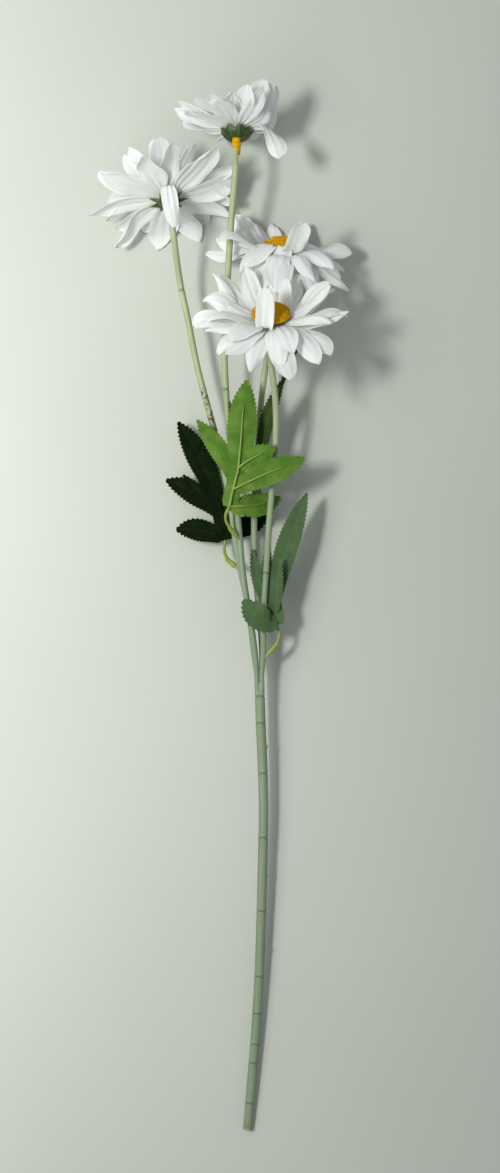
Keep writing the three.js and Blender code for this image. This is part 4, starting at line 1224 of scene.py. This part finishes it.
CAMERA = np.array([1.6, 346.5, 1600.0])  # straight above the spray
CAMERA_LENS = 76.7
SENSOR_HEIGHT = 36
FLOOR_HALF = 15.0  # metres, so that its edge stays far off in a low view
SKY_COLOUR = (0.9, 0.96, 1.0, 1)
SKY_STRENGTH = 0.41
# name, place, target and size in metres, power in watts, colour
LIGHTS = [
    ("key", (-0.62, 0.18, 1.5), (0.0, 0.05, 0.0), (0.26, 0.26), 22.8, (1.0, 0.99, 0.95)),
    ("window", (-0.6, 0.1, 0.75), (0.0, 0.0, 0.0), (0.6, 1.2), 6.9, (0.98, 1.0, 0.98)),
]


def camera():
    data = bpy.data.cameras.new("camera")
    data.lens = CAMERA_LENS
    data.sensor_fit = "VERTICAL"
    data.sensor_height = SENSOR_HEIGHT
    data.clip_end = 50
    obj = new_object("camera", data)
    obj.location = (CAMERA + PART_SHIFT) * MM
    bpy.context.scene.camera = obj


def area_light(name, place, target, size, power, colour):
    data = bpy.data.lights.new(name, "AREA")
    data.shape = "RECTANGLE"
    data.size, data.size_y = size
    data.energy = power
    data.color = colour
    obj = new_object(name, data)
    obj.location = place
    direction = np.array(target) - np.array(place)
    yaw = math.atan2(direction[0], -direction[1])
    tilt = math.atan2(math.hypot(direction[0], direction[1]), -direction[2])
    obj.rotation_euler = (tilt, 0, yaw)


def surface():
    """The pale floor that the spray lies on."""
    half = FLOOR_HALF
    corners = [(-half, -half, 0), (half, -half, 0), (half, half, 0), (-half, half, 0)]
    mesh = bpy.data.meshes.new("floor")
    mesh.from_pydata(corners, [], [(0, 1, 2, 3)])
    mesh.materials.append(mottled(
        "pale_surface", 0.9, (3.0, 3.0), (0.3, 0.7), (rgb(185, 189, 179), rgb(191, 194, 185)),
        Specular_IOR_Level=0.2,
    ))
    new_object("floor", mesh)


def sky():
    world = bpy.data.worlds.new("studio")
    world.use_nodes = True
    background = world.node_tree.nodes["Background"]
    background.inputs["Color"].default_value = SKY_COLOUR
    background.inputs["Strength"].default_value = SKY_STRENGTH
    bpy.context.scene.world = world
    bpy.context.scene.view_settings.view_transform = "Standard"


# ---- The spray ----------------------------------------------------------------------------------

camera()
surface()
sky()
for light in LIGHTS:
    area_light(*light)

petals = petal_fabric()
skin = stem_plastic()
# Gold flock; where the value rim is high it turns brown as painted shade on the disc's rim, steep sides
# and underside
flock = mottled(
    "disc_flock_painted_shade", 0.9, (900.0,), (0.35, 0.7), (rgb(186, 134, 2), rgb(228, 182, 8)),
    ("rim", 0.35, 0.9, rgb(146, 82, 2), 0.85), (900.0, 0.35, 0.0004), Specular_IOR_Level=0.15,
)
green_cup = mottled(
    "calyx_plastic", 0.42, (260.0, 3.0), (0.3, 0.7), (rgb(24, 42, 6), rgb(48, 74, 16)),
    ("rib", 0.1, 1.0, rgb(96, 128, 48), 0.45), (1500.0, 0.15, 0.0003), Specular_IOR_Level=0.5,
)
steel = mottled(
    "wire_steel", 0.45, (800.0, 4.0), (0.5, 0.68), (rgb(150, 148, 144), rgb(104, 66, 40)),
    grain=(2500.0, 0.2, 0.0002), Metallic=1.0,
)
rib_plastic = mottled(
    "rib_plastic", 0.4, (240.0, 3.0), (0.3, 0.7), (rgb(116, 132, 40), rgb(146, 160, 62)),
    ("fade", 0.0, 1.0, rgb(92, 124, 42), 1.0), (1600.0, 0.15, 0.0003),
    Subsurface_Weight=0.15, Subsurface_Scale=0.002,
)
dark = leaf_fabric("leaf_dark", rgb(2, 17, 0), 0.02)
pale = leaf_fabric("leaf_pale", rgb(66, 92, 60), 0.14)
olive = leaf_fabric("leaf_olive", rgb(40, 60, 20), 0.1)

lower_stem(skin)
for index in range(len(HEADS)):
    branch_stem(index, skin)
    wire(index, steel)
    bloom(index, petals)
    disc(index, flock)
    calyx(index, green_cup)
for leaf, fabric in zip(LEAVES, (dark, dark, pale, olive)):
    leaf_blade(leaf, fabric)
    leaf_ribs(leaf, rib_plastic)
